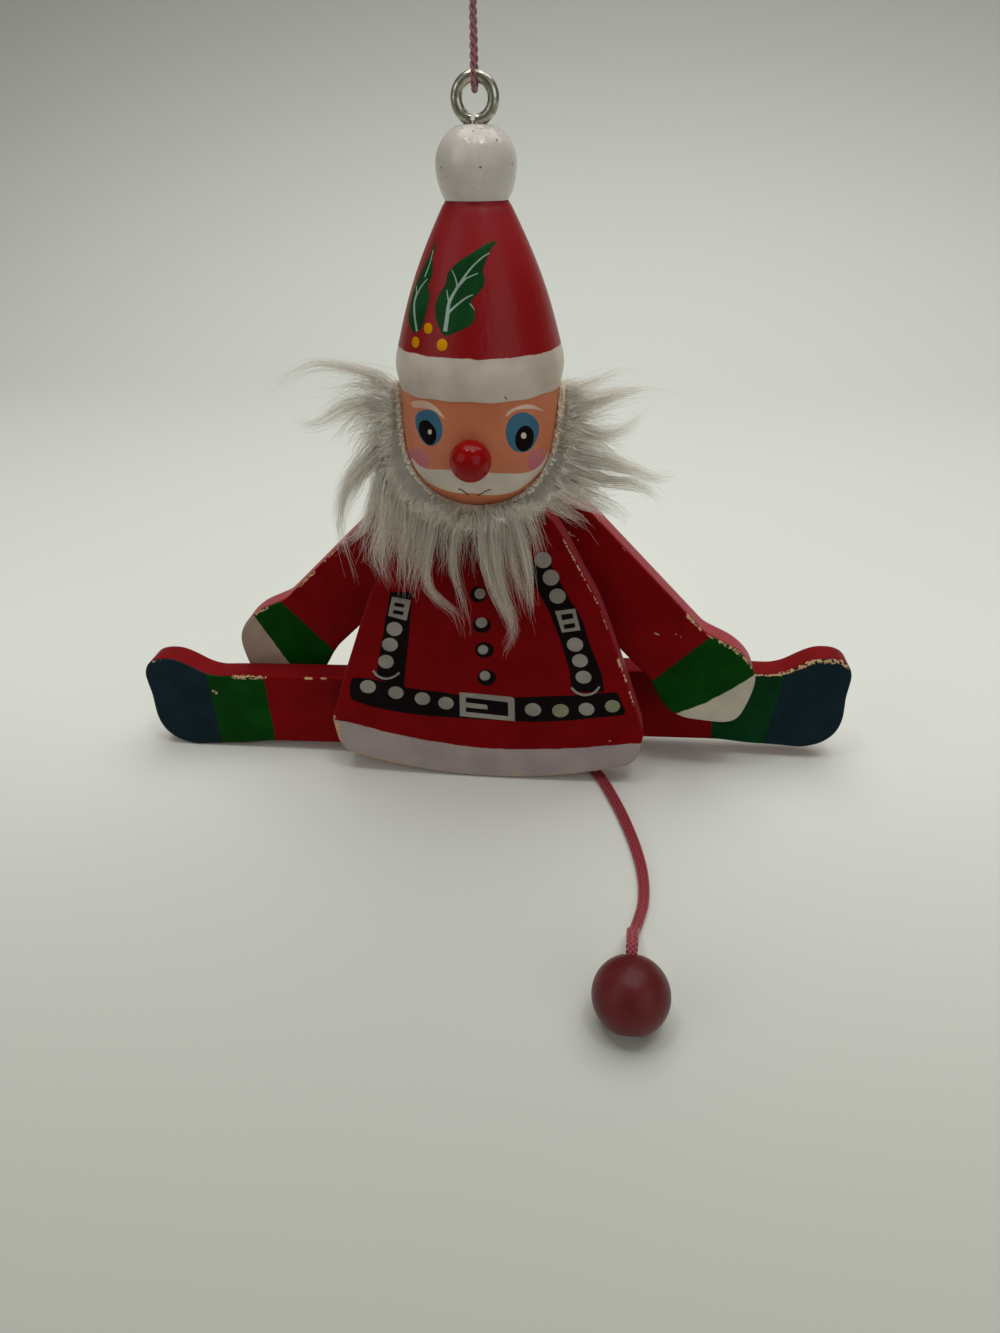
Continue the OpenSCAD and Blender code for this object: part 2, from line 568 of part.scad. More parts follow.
// Pull cord, bead and the knot in the bead's lower end
bead_z = floor_z + bead_d / 2;
bead_half_h = bead_d / 2 * sin(acos(bead_flat_d / bead_d));
module in_bead() translate([bead_at[0], bead_at[1], bead_z]) rotate([bead_tilt - 90, 0, 0])
    children();
module pull_cord() color("#a3122a") cord_tube(pull_route, pull_d);
module pull_bead() color("#5b1a1e") in_bead() difference() {
    rotate_extrude($fn = round_fn) polygon(concat([[0, bead_half_h]],
        bead_half(bead_d, bead_flat_d, bead_half_h, true),
        bead_half(bead_d, bead_flat_d, bead_half_h, false), [[0, -bead_half_h]]));
    translate([0, 0, -bead_d]) cylinder(h = 2 * bead_d, d = bead_bore_d, $fn = small_fn);
    translate([0, 0, -bead_d])
        cylinder(h = bead_d / 2 + bead_sink_l, d = bead_sink_d, $fn = small_fn);
}
module bead_knot() color("#a3122a") in_bead()
    translate([0, 0, -bead_d / 2 + bead_sink_l - bead_knot_d / 2])
        sphere(d = bead_knot_d, $fn = small_fn);

// Hanging cord, doubled through the ring, and its knot with two cut tails
tail_l = 4;
tail_spread = 24;
module hang_cord() color("#7d2338") cord_tube(hang_route, hang_cord_d);
module hang_knot() color("#7d2338") translate([0, 0, hang_knot_d / 2]) {
    sphere(d = hang_knot_d, $fn = small_fn);
    for (s = [-1, 1]) rotate([0, s * tail_spread, 0])
        cylinder(h = tail_l, d = hang_cord_d, $fn = small_fn);
}

coat_board();
head();
hat();
pompom();
screw_eye();
nose();
beard_backing();
beard_left();
beard_right();
beard_front();
arm_left();
arm_right();
leg_left();
leg_right();
shoulder_nail_left();
shoulder_nail_right();
hip_nail_left();
hip_nail_right();
shoulder_spacer();
hip_spacer();
arm_tack_left();
arm_tack_right();
leg_tack_left();
leg_tack_right();
arm_tie();
leg_tie();
centre_string();
pull_cord();
pull_bead();
bead_knot();
hang_cord();
hang_knot();
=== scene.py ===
# %% [markdown]
# # A pull-string jumping jack, dressed in Blender
# The toy hangs from a screw eye: a sawn plywood coat carries a turned head and hat, and four
# sawn limbs are nailed behind it so that a string can swing them. The CAD frame gives every
# solid in its place. This file gives each of them its paint, grain, fur or thread.
# Lengths are written in millimetres and turned to metres where a mesh is made.

# %% Load the frame
import math
import random
from collections import namedtuple

import bmesh
import bpy
from mathutils import Matrix, Vector
from mathutils.bvhtree import BVHTree
from mathutils.geometry import delaunay_2d_cdt, intersect_point_line


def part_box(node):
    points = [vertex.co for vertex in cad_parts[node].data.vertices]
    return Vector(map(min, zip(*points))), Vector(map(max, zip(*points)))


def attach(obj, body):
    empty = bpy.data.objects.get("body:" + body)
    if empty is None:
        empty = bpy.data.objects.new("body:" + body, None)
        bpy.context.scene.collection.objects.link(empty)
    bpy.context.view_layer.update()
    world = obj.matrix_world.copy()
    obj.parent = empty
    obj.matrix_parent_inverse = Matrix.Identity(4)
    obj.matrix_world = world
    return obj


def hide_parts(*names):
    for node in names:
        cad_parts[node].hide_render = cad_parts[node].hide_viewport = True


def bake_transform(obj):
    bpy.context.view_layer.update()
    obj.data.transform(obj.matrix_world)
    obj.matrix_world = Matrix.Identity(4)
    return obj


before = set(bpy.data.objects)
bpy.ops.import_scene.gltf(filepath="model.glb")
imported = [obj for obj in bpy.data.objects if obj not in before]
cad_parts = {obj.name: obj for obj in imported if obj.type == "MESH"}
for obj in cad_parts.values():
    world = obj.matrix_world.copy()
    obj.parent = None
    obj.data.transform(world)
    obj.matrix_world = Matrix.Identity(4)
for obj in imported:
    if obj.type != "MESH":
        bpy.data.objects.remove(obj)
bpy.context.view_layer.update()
MM = 0.001
TOP_HAT, RIM, HEAD_TOP, CHEEK, CHIN = -42.7, -63.6, -69.8, -79.4, -91.0
FLOOR = -152.4
COAT_FRONT = -3.0
HEAD_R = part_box("head")[1][0] / MM

# %% [markdown]
# ## The camera
# The photograph looks down on the standing toy from close by. Its place was worked out from
# the toy's known sizes, and the same numbers turn a pixel of the photograph into a line of
# sight, so that painted details can be laid on the wood where the photograph shows them.

# %% Camera
PHOTO_W, PHOTO_H, FOCAL_PX = 1000, 1333, 869.67
EYE = Vector((18.65, -150.68, -36.0))
YAW, PITCH, ROLL = math.radians(-6.0), math.radians(30.76), math.radians(-0.61)
FORWARD = Vector((math.sin(YAW) * math.cos(PITCH), math.cos(YAW) * math.cos(PITCH), -math.sin(PITCH)))
LEVEL = Vector((math.cos(YAW), -math.sin(YAW), 0.0))
UPRIGHT = LEVEL.cross(FORWARD)
RIGHT = LEVEL * math.cos(ROLL) + UPRIGHT * math.sin(ROLL)
UP = UPRIGHT * math.cos(ROLL) - LEVEL * math.sin(ROLL)

camera_data = bpy.data.cameras.new("camera")
camera_data.sensor_fit = "VERTICAL"
camera_data.sensor_height = 36.0
camera_data.lens = FOCAL_PX / PHOTO_H * 36.0
camera_data.clip_start = 0.01
camera = bpy.data.objects.new("camera", camera_data)
turn = Matrix((RIGHT, UP, -FORWARD)).transposed().to_4x4()
camera.matrix_world = Matrix.Translation(EYE * MM) @ turn
bpy.context.scene.collection.objects.link(camera)
bpy.context.scene.camera = camera


def sight(x, y):
    """Direction from the eye through a pixel of the photograph."""
    return (FORWARD * FOCAL_PX + RIGHT * (x - PHOTO_W / 2) + UP * (PHOTO_H / 2 - y)).normalized()


def at_depth(x, y, depth):
    """The point on that line of sight that lies at depth, a distance along Y."""
    ray = sight(x, y)
    return EYE + ray * ((depth - EYE.y) / ray.y)


print("lens mm:", round(camera_data.lens, 2))

# %% [markdown]
# ## Colours and nodes
# Colours are written as sRGB hex values, the way a paint chart gives them, and one function
# turns them to the linear values that the renderer works with. Another adds a node with its
# settings and links, and every material and node tree below is built with it.

# %% Colour and node helpers
def colour(text):
    """A linear RGBA colour from an sRGB hex value."""
    parts = [int(text[i:i + 2], 16) / 255 for i in (1, 3, 5)]
    return tuple(p / 12.92 if p < 0.04045 else ((p + 0.055) / 1.055) ** 2.4 for p in parts) + (1.0,)


def add(tree, kind, inputs=None, **settings):
    """A new node with its settings, whose inputs are values or linked sockets."""
    made = tree.nodes.new(kind)
    for key, value in settings.items():
        setattr(made, key, value)
    for key, value in (inputs or {}).items():
        if isinstance(value, bpy.types.NodeSocket):
            tree.links.new(value, made.inputs[key])
        else:
            made.inputs[key].default_value = value
    return made


def material(name):
    """An empty node material, its tree, and the Object coordinates in millimetres."""
    made = bpy.data.materials.new(name)
    made.use_nodes = True
    tree = made.node_tree
    tree.nodes.clear()
    place = add(tree, "ShaderNodeTexCoord").outputs["Object"]
    scaled = add(tree, "ShaderNodeMapping", {"Vector": place, "Scale": (1000, 1000, 1000)})
    return made, tree, scaled.outputs["Vector"]


def attribute(tree, name):
    """A number that the mesh carries at its points."""
    return add(tree, "ShaderNodeAttribute", attribute_name=name).outputs["Fac"]


def calculated(tree, operation, *values):
    """The result of a Math node on numbers or sockets."""
    return add(tree, "ShaderNodeMath", dict(enumerate(values)), operation=operation).outputs[0]


def blend(tree, factor, first, second):
    """One colour laid over another by a factor."""
    return add(tree, "ShaderNodeMix", {0: factor, 6: first, 7: second}, data_type="RGBA").outputs[2]


def step(tree, value, low, high, start=0.0, end=1.0):
    """A smooth step of a value from low to high."""
    made = add(tree, "ShaderNodeMapRange", {0: value, 1: low, 2: high, 3: start, 4: end},
               interpolation_type="SMOOTHSTEP")
    return made.outputs[0]


def noise(tree, place, size, detail=3.0, stretch=(1, 1, 1)):
    """Noise whose blotches are about size millimetres across."""
    scaled = add(tree, "ShaderNodeMapping", {"Vector": place, "Scale": tuple(s / size for s in stretch)})
    made = add(tree, "ShaderNodeTexNoise", {"Vector": scaled.outputs["Vector"], "Scale": 1.0, "Detail": detail})
    return made.outputs["Fac"]


def shade(tree, base, roughness, height=None, depth_mm=0.05, **settings):
    """The surface shader, with a bump as deep as depth_mm."""
    inputs = {"Base Color": base, "Roughness": roughness}
    if height is not None:
        bump = add(tree, "ShaderNodeBump", {"Height": height, "Distance": depth_mm * MM, "Strength": 1.0})
        inputs["Normal"] = bump.outputs["Normal"]
    for key, value in settings.items():
        inputs[key.replace("_", " ")] = value
    shader = add(tree, "ShaderNodeBsdfPrincipled", inputs)
    add(tree, "ShaderNodeOutputMaterial", {"Surface": shader.outputs["BSDF"]})


# %% [markdown]
# ## Paint on wood
# The toy is painted by hand in thick enamel, one colour over another. A coat of it is not
# even: it pools, it shows the brush, and it wears through along the sawn edges, where the
# pale wood comes out. The colour zones of a limb are told apart by a number that its mesh
# carries at each point, so that a border is a fine line whatever the size of the triangles.

# %% Painted wood
# Painted light: the sawn walls are blended towards this paler pink, for the light that falls on them.
PAINTED_WALL_LIGHT = "#b8525a"
CHIP_DARK, CHIP_LIGHT = "#a8794c", "#dcc096"


def with_lost_paint(tree, place, base, brushed, pale):
    """Paint with painted light that makes it paler on the sawn walls, gone at edges and scrapes, and its height."""
    base = blend(tree, calculated(tree, "MULTIPLY", attribute(tree, "wall"), pale), base, colour(PAINTED_WALL_LIGHT))
    near_edge = step(tree, attribute(tree, "rim"), 0.05, 0.32, 0.17, 0.0)
    loss = calculated(tree, "MULTIPLY_ADD", noise(tree, place, 1.1, 5.0), 0.6, near_edge)
    loss = calculated(tree, "MULTIPLY_ADD", noise(tree, place, 6.0, 2.0), 0.6, loss)
    broken = step(tree, noise(tree, place, 0.55, 2.0), 0.42, 0.5, 0.3, 1.0)
    loss = calculated(tree, "MULTIPLY_ADD", broken, attribute(tree, "chip"), loss)
    bare = step(tree, loss, 0.86, 0.89)
    wood = blend(tree, noise(tree, place, 0.7, 3.0, (0.2, 1, 1)), colour(CHIP_DARK), colour(CHIP_LIGHT))
    return blend(tree, bare, base, wood), calculated(tree, "MULTIPLY_ADD", bare, -0.8, brushed)


def enamel(name, main, pooled, roughness=0.42, gloss=0.04, grain_mm=0.9, zones=(), worn=False,
           pale=0.4, relief_mm=0.05, specks=False):
    """Brushed enamel in one colour, with zones of other colours from attributes of the mesh."""
    made, tree, place = material(name)
    cloud = step(tree, noise(tree, place, 6.0), 0.3, 0.7)
    height = noise(tree, place, grain_mm, 4.0, (1, 1, 0.35))
    base = blend(tree, cloud, colour(main), colour(pooled))
    wobble = calculated(tree, "SUBTRACT", noise(tree, place, 2.2), 0.5)
    for zone, first, second in zones:
        moved = calculated(tree, "MULTIPLY_ADD", wobble, 0.5, attribute(tree, zone))
        base = blend(tree, step(tree, moved, -0.05, 0.05), base, blend(tree, cloud, colour(first), colour(second)))
    if worn:
        base, height = with_lost_paint(tree, place, base, height, pale)
    if specks:
        chipped = step(tree, noise(tree, place, 0.9, 2.0), 0.69, 0.73)
        base = blend(tree, chipped, base, colour("#80655a"))
    shade(tree, base, roughness, height, relief_mm, Specular_IOR_Level=gloss)
    return made


def bare_wood(name):
    """Unpainted birch plywood, its grain along X."""
    made, tree, place = material(name)
    grain = noise(tree, place, 0.7, 4.0, (0.06, 1, 1))
    base = blend(tree, step(tree, grain, 0.25, 0.8), colour("#c9a877"), colour("#b08c5c"))
    shade(tree, base, 0.7, grain, 0.04, Specular_IOR_Level=0.25)
    return made


RED, RED_POOLED = "#7d0308", "#720206"
GREEN, GREEN_POOLED = "#033f07", "#023404"
coat_paint = enamel("enamel_coat", RED, RED_POOLED, zones=[("hem", "#a99a95", "#9c8f8f")], worn=True)


def limb_paint(name, hand, hand_pooled, cuff=(GREEN, GREEN_POOLED), pale=0.6):
    """Red enamel with a green cuff and a hand or boot in a third colour."""
    return enamel(name, RED, RED_POOLED, worn=True, pale=pale,
                  zones=[("cuff", *cuff), ("hand", hand, hand_pooled)])


# pale sets how strongly the painted wall light shows on a limb's sawn walls: much on the arms, little on the legs.
right_arm_paint = limb_paint("enamel_right_arm", "#bfb7a6", "#b1a898")
# The left mitten is painted darker and browner than the right one: painted shade, because that hand lies in shadow.
left_arm_paint_shaded = limb_paint("enamel_left_arm_shaded_hand", "#a58f80", "#968073")
left_leg_paint = limb_paint("enamel_left_leg", "#142830", "#102229", ("#054209", "#033606"), 0.05)
right_leg_paint = limb_paint("enamel_right_leg", "#142830", "#102229", ("#053c1b", "#033114"), 0.05)
plywood_back = bare_wood("birch_plywood_bare")
print("paints:", len(bpy.data.materials))

# %% [markdown]
# ## Pieces from points
# A finished piece sits at the origin with its place in its mesh, as the CAD nodes do. One
# function makes the mesh, puts numbers on its points for the materials, and lets the piece
# ride on the body that carries it.

# %% Pieces
def carried(made, body, stands_for=()):
    """An object put in the scene, riding on its body, with the CAD nodes it stands for hidden."""
    bpy.context.scene.collection.objects.link(made)
    if body:
        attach(made, body)
    for node in stands_for:
        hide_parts(node)
    return made


def triangles(mesh):
    """How many triangles a mesh has."""
    return sum(len(p.vertices) - 2 for p in mesh.polygons)


def face_outwards(mesh):
    """Turn the faces of a closed mesh outwards."""
    shape = bmesh.new()
    shape.from_mesh(mesh)
    bmesh.ops.recalc_face_normals(shape, faces=shape.faces)
    shape.to_mesh(mesh)
    shape.free()


def piece(name, points, faces, paints, body, stands_for=(), values=None, kinds=None, sharp=40):
    """A mesh object from points in millimetres, which rides on a body."""
    mesh = bpy.data.meshes.new(name)
    mesh.from_pydata([Vector(p) * MM for p in points], [], faces)
    mesh.validate()
    mesh.shade_smooth()
    mesh.set_sharp_from_angle(angle=math.radians(sharp))
    for paint in paints:
        mesh.materials.append(paint)
    if kinds:
        mesh.polygons.foreach_set("material_index", kinds)
    for key, numbers in (values or {}).items():
        mesh.attributes.new(key, "FLOAT", "POINT").data.foreach_set("value", numbers)
    return carried(bpy.data.objects.new(name, mesh), body, stands_for)


def smooth_line(points, steps, closed=False):
    """A Catmull-Rom line through points."""
    points = [Vector(p) for p in points]
    count = len(points)
    line = []
    for i in range(count if closed else count - 1):
        a, b, c, d = (points[(i + k) % count] if closed else points[min(max(i + k, 0), count - 1)]
                      for k in (-1, 0, 1, 2))
        for k in range(steps):
            t = k / steps
            line.append((2 * b + (c - a) * t + (2 * a - 5 * b + 4 * c - d) * t * t
                         + (3 * b - a - 3 * c + d) * t ** 3) / 2)
    if not closed:
        line.append(points[-1])
    return line


# %% [markdown]
# ## Cords
# The hanging cord and the pull cord are the two free cords. The hanging cord is two threads
# laid round each other, and the pull cord is two flat plaits of three, side by side. A
# thread is a line of points beside the cord's route, and one Geometry Nodes tree turns lines
# to round threads. It later makes the fur too, so its inputs are named for what a thread has.

# %% Threads by Geometry Nodes
def thread_tree():
    """A node tree that gives every line of a mesh a round section."""
    tree = bpy.data.node_groups.new("threads", "GeometryNodeTree")
    for socket, kind in (("Geometry", "Geometry"), ("Thread radius", "Float"), ("Sides", "Int"),
                         ("Material", "Material")):
        tree.interface.new_socket(socket, in_out="INPUT", socket_type="NodeSocket" + kind)
    tree.interface.new_socket("Geometry", in_out="OUTPUT", socket_type="NodeSocketGeometry")
    given = add(tree, "NodeGroupInput").outputs
    lines = add(tree, "GeometryNodeMeshToCurve", {"Mesh": given["Geometry"]})
    ring = add(tree, "GeometryNodeCurvePrimitiveCircle", {"Resolution": given["Sides"],
                                                          "Radius": given["Thread radius"]})
    share = add(tree, "GeometryNodeInputNamedAttribute", {"Name": "share"}, data_type="FLOAT")
    tube = add(tree, "GeometryNodeCurveToMesh", {"Curve": lines.outputs[0], "Profile Curve": ring.outputs[0],
                                                 "Scale": share.outputs[0], "Fill Caps": True})
    soft = add(tree, "GeometryNodeSetShadeSmooth", {"Geometry": tube.outputs[0]})
    real = add(tree, "GeometryNodeRealizeInstances", {"Geometry": soft.outputs[0]})
    dressed = add(tree, "GeometryNodeSetMaterial", {"Geometry": real.outputs[0],
                                                    "Material": given["Material"]})
    add(tree, "NodeGroupOutput", {"Geometry": dressed.outputs[0]})
    return tree


THREADS = thread_tree()


def threads(name, lines, radius, sides, paint, body, stands_for=()):
    """Round threads along lines, each a list of (point, share of the radius, tint)."""
    points, edges, shares, tints = [], [], [], []
    for line in lines:
        first = len(points)
        for k, (point, share, tint) in enumerate(line):
            points.append(Vector(point) * MM)
            shares.append(share)
            tints.append(tint)
            if k:
                edges.append((first + k - 1, first + k))
    mesh = bpy.data.meshes.new(name + "_lines")
    mesh.from_pydata(points, edges, [])
    mesh.attributes.new("share", "FLOAT", "POINT").data.foreach_set("value", shares)
    mesh.attributes.new("tint", "FLOAT", "POINT").data.foreach_set("value", tints)
    source = bpy.data.objects.new(name + "_lines", mesh)
    bpy.context.scene.collection.objects.link(source)
    modifier = source.modifiers.new("threads", "NODES")
    modifier.node_group = THREADS
    given = {"Thread radius": radius * MM, "Sides": sides, "Material": paint}
    for item in THREADS.interface.items_tree:
        if item.in_out == "INPUT" and item.name in given:
            modifier[item.identifier] = given[item.name]
    source.update_tag()
    depsgraph = bpy.context.evaluated_depsgraph_get()
    result = bpy.data.meshes.new_from_object(source.evaluated_get(depsgraph))
    bpy.data.objects.remove(source)
    print(name, "triangles:", triangles(result))
    return carried(bpy.data.objects.new(name, result), body, stands_for)


def along(route, start_side):
    """Points of a route with a side and an upward direction that don't twist."""
    rows, side = [], Vector(start_side)
    for i, point in enumerate(route):
        heading = (route[min(i + 1, len(route) - 1)] - route[max(i - 1, 0)]).normalized()
        side = (side - side.dot(heading) * heading).normalized()
        rows.append((point, side, heading.cross(side)))
    return rows


def run_length(points):
    """The length of a line of points."""
    return sum((b - a).length for a, b in zip(points, points[1:]))


STEPS_A_LAY = 12


def plait(route, lay_mm, width, lift, start_side=(1, 0, 0), count=3, flat=True, beside=(0.0, 0.0)):
    """Threads of a flat plait, or of a round lay, at a distance beside a route's start and end."""
    spacing = lay_mm / STEPS_A_LAY
    total = run_length(route)
    fine, gone, target = [], 0.0, 0.0
    for a, b in zip(route, route[1:]):
        span = (b - a).length
        while target <= gone + span:
            fine.append(a.lerp(b, (target - gone) / span))
            target += spacing
        gone += span
    rows = along(fine, start_side)
    lines = []
    for k in range(count):
        line = []
        for i, (point, side, up) in enumerate(rows):
            out = beside[0] + (beside[1] - beside[0]) * i * spacing / total
            turn_at = 2 * math.pi * (i * spacing / lay_mm + k / count)
            if flat:
                offset = side * (out + math.sin(turn_at) * width) + up * math.sin(2 * turn_at) * lift
            else:
                offset = side * math.sin(turn_at) * width + up * math.cos(turn_at) * width
            line.append((point + offset, 1.0, i * spacing / total))
        lines.append(line)
    return lines


# %% [markdown]
# Both cords are man-made silk: bright where the threads turn over and pale where they are
# rubbed. The hanging cord goes up from the wire of the ring to its knot and back.

# %% Cord material and the two cords
def silk(name, deep, pale, far_colour=None):
    """Twisted rayon thread, whose fine filaments catch the light."""
    made, tree, place = material(name)
    hairs = noise(tree, place, 0.25, 3.0)
    base = blend(tree, step(tree, hairs, 0.35, 0.75), colour(deep), colour(pale))
    # The thread turns towards far_colour along its length, paler towards the far end of its route.
    if far_colour:
        base = blend(tree, step(tree, attribute(tree, "tint"), 0.5, 0.95), base, colour(far_colour))
    shade(tree, base, 0.5, hairs, 0.06, Sheen_Weight=0.3, Sheen_Roughness=0.4)
    return made


wine_silk = silk("rayon_thread_wine", "#8e5560", "#a9727c")
red_silk = silk("rayon_braid_red", "#8c1424", "#a32838", far_colour="#9b4149")

HANG_DOWN = [(0, -0.5, 0.2), (0, -0.5, -2), (0, -0.5, -5), (0, -0.5, -8), (0, -0.6, -11), (0, -0.7, -14),
             (0, -0.9, -17), (0, -1.2, -20), (0, -1.4, -22.5), (0, -1.6, -25), (0, -1.7, -26.7),
             (0, -1.4, -27.8), (0, -0.8, -28.4)]
HANG_ROUTE = HANG_DOWN + [(0, 0, -28.6)] + [(x, -y, z) for x, y, z in reversed(HANG_DOWN)]
LIES_Z = -151.6
ON_TABLE = [(1.4, 14.8), (2, 12.4), (3, 10.3), (5, 8.6), (8, 7.2), (11.4, 6.3), (15, 5.6), (18.4, 4.7), (21.2, 2.8),
            (23.3, 0.2), (25, -3.2), (26.6, -7.4), (28.2, -12), (29.7, -17.2), (31, -22.6), (31.9, -28), (32.2, -33),
            (31.9, -37.4), (31.2, -40.4), (30.6, -42.5)]
OVER_BEAD = [(30.3, -43.7, -151.3), (30, -44.7, -150.6), (29.8, -45.7, -149.5), (29.6, -47.4, -147.7),
             (29.3, -49.5, -145.5), (29.1, -51.2, -143.6), (29, -52.2, -142.5), (28.9, -53.1, -141.9),
             (28.8, -54.2, -141.6), (28.8, -55.3, -141.7), (28.7, -56.3, -142.2), (28.7, -57.4, -143.1),
             (28.7, -59.2, -144.5), (28.7, -61.5, -146.3), (28.7, -63.9, -148.2)]
PULL_ROUTE = ([(0.6, 19.1, -146.6), (0.6, 19.1, -148), (0.7, 18.4, -149.7), (1, 17, -151)]
              + [(x, y, LIES_Z) for x, y in ON_TABLE] + OVER_BEAD)


KNOT_STEPS = 72


def knot(name, centre, size, radius, paint, body, node, tails=()):
    """A tight knot, drawn as a trefoil of thread, with its cut tails."""
    line = []
    for i in range(KNOT_STEPS + 1):
        t = 2 * math.pi * i / KNOT_STEPS
        spread = size * (0.62 + 0.38 * math.cos(3 * t))
        spot = Vector((spread * math.cos(2 * t), spread * math.sin(2 * t), size * 0.62 * math.sin(3 * t)))
        line.append((Vector(centre) + spot, 1.0, 0.0))
    lines = [line] + [[(a, 1.0, 0.0), (b, 1.0, 0.0)] for a, b in tails]
    return threads(name, lines, radius, 10, paint, body, [node])


hang_line = smooth_line(HANG_ROUTE, 4)
hang = threads("hanging_cord", plait(hang_line, 2.2, 0.22, 0, count=2, flat=False), 0.23, 8, wine_silk,
               "figure", ["hang_cord"])
hang_knot = knot("hanging_knot", (0, 0, 1.7), 1.15, 0.45, wine_silk, "figure", "hang_knot",
                 [((0, 0, 1.9), (-1.6, 0, 5.3)), ((0, 0, 1.9), (1.6, 0, 5.3))])

pull_line = smooth_line(PULL_ROUTE, 4)
pull_threads = [line for way in (-1, 1) for line in plait(pull_line, 2.4, 0.34, 0.2, beside=(0.74 * way, 0.36 * way))]
pull = threads("pull_cord_plait", pull_threads, 0.22, 8, red_silk, None, ["pull_cord"])
bead_knot = knot("knot_in_bead", (28.7, -63.7, -148.0), 0.95, 0.4, red_silk, "bead_run", "bead_knot")

# %% [markdown]
# ## Turned pieces
# The hat with its band, the head, the pompom, the nose and the pull bead come from a lathe.
# Each is its profile spun round its axis, with the small roundings that sandpaper leaves.

# %% The lathe
def turned(name, profile, paints, body, stands_for, centre=(0, 0, 0), axis=(0, 0, 1), steps=144):
    """A closed turned piece from a profile of (radius, height), first and last on the axis or a ring."""
    spin = Vector((0, 0, 1)).rotation_difference(Vector(axis)).to_matrix()
    points, faces, rings = [], [], []
    for radius, height in profile:
        first = len(points)
        count = 1 if radius < 1e-6 else steps
        for k in range(count):
            a = 2 * math.pi * k / steps
            points.append(Vector(centre) + spin @ Vector((radius * math.cos(a), radius * math.sin(a), height)))
        rings.append((first, count))
    pairs = list(zip(rings, rings[1:]))
    if profile[0][0] > 1e-6:
        pairs.append((rings[-1], rings[0]))
    for (a, a_count), (b, b_count) in pairs:
        for k in range(steps):
            n = (k + 1) % steps
            loop = [a + (k if a_count > 1 else 0), b + (k if b_count > 1 else 0),
                    b + (n if b_count > 1 else 0), a + (n if a_count > 1 else 0)]
            faces.append(list(dict.fromkeys(loop)))
    return piece(name, points, faces, paints, body, stands_for)


def rounded(corner_r, corner_z, radius, steps=5):
    """Points of a small rounding at the outer end of a flat top."""
    turns = [math.pi / 2 * k / steps for k in range(steps + 1)]
    return [(corner_r - radius + radius * math.sin(a), corner_z - radius + radius * math.cos(a)) for a in turns]


# %% [markdown]
# The paint on the turned pieces is the same enamel. The hat changes from red to the white of
# its band at a brushed line, which its material finds by height.

# %% Paint for the turned pieces
HAT_PAINTED_SHEEN = (-58.0, -44.0)


def hat_enamel():
    """Deep red enamel above the rim, with a painted sheen that makes it paler towards the top, and thick white below
    it.
    """
    made, tree, place = material("enamel_hat")
    height_at = add(tree, "ShaderNodeSeparateXYZ", {"Vector": place}).outputs["Z"]
    wave = calculated(tree, "MULTIPLY_ADD", noise(tree, place, 3.5), 0.7, height_at)
    white = step(tree, wave, RIM + 0.4, RIM + 0.32)
    cloud = step(tree, noise(tree, place, 7.0), 0.3, 0.7)
    # Painted sheen: the red turns paler towards the top, where light from above falls on it.
    sheen_towards_top = step(tree, height_at, *HAT_PAINTED_SHEEN)
    red = blend(tree, sheen_towards_top, colour("#8b0308"), colour("#96181f"))
    cream = blend(tree, cloud, colour("#d3c6b6"), colour("#bcae9f"))
    chipped = step(tree, noise(tree, place, 1.1, 2.0), 0.71, 0.75)
    cream = blend(tree, chipped, cream, colour("#8a7468"))
    base = blend(tree, white, red, cream)
    brush = noise(tree, place, 0.9, 4.0, (1, 1, 0.25))
    dabs = noise(tree, place, 2.4, 3.0)
    relief = blend(tree, white, brush, dabs)
    shade(tree, base, 0.34, relief, 0.09, Specular_IOR_Level=0.28)
    return made


hat_paint = hat_enamel()
flesh_paint = enamel("enamel_flesh", "#c97852", "#c26e4a", roughness=0.4, gloss=0.3)
white_paint = enamel("enamel_white", "#d4c9ba", "#bfb3a4", roughness=0.38, gloss=0.3, grain_mm=1.6)
nose_paint = enamel("enamel_nose_red", "#960709", "#860506", roughness=0.1, gloss=0.18)
pompom_paint = enamel("enamel_pompom_white", "#dcd5ca", "#cbc3b8", roughness=0.2, gloss=0.5, grain_mm=1.8,
                      relief_mm=0.2, specks=True)
wine_stain = enamel("stained_beech_wine", "#6b2526", "#591c1e", roughness=0.35, gloss=0.18)

# %% Hat, head, pompom and nose
HAT_TOP_R, RIM_R = 4.95, 13.5


def swelling(radius, height, end_radius, end_height, swell, spans, count):
    """Points of a cone's side that swells in its middle, after its first point."""
    shares = [k / spans for k in range(1, count + 1)]
    return [(radius + (end_radius - radius) * t + swell * math.sin(math.pi * t),
             height + (end_height - height) * t) for t in shares]


hat_profile = [(0, TOP_HAT)] + rounded(HAT_TOP_R, TOP_HAT, 0.2)
hat_profile += swelling(HAT_TOP_R, TOP_HAT, RIM_R, RIM, 0.85, 24, 24)
hat_profile += swelling(RIM_R, RIM, HEAD_R, HEAD_TOP, 0.6, 15, 14)
hat_profile += [(HEAD_R + 0.1, HEAD_TOP + 0.3), (HEAD_R + 0.14, HEAD_TOP - 0.1), (HEAD_R + 0.05, HEAD_TOP - 0.25),
                (HEAD_R - 0.3, HEAD_TOP - 0.25), (0, HEAD_TOP - 0.25)]
hat = turned("hat_turned", hat_profile, [hat_paint], "figure", ["hat"])
# The white paint runs a little way over the joint with the head, in a wavy lip.
for vertex in hat.data.vertices:
    if vertex.co.z < (HEAD_TOP + 0.1) * MM and vertex.co.xy.length > (HEAD_R - 0.2) * MM:
        turn = math.atan2(vertex.co.y, vertex.co.x)
        vertex.co.z -= (0.12 + 0.1 * math.sin(5 * turn + 1) + 0.08 * math.sin(13 * turn)) * MM

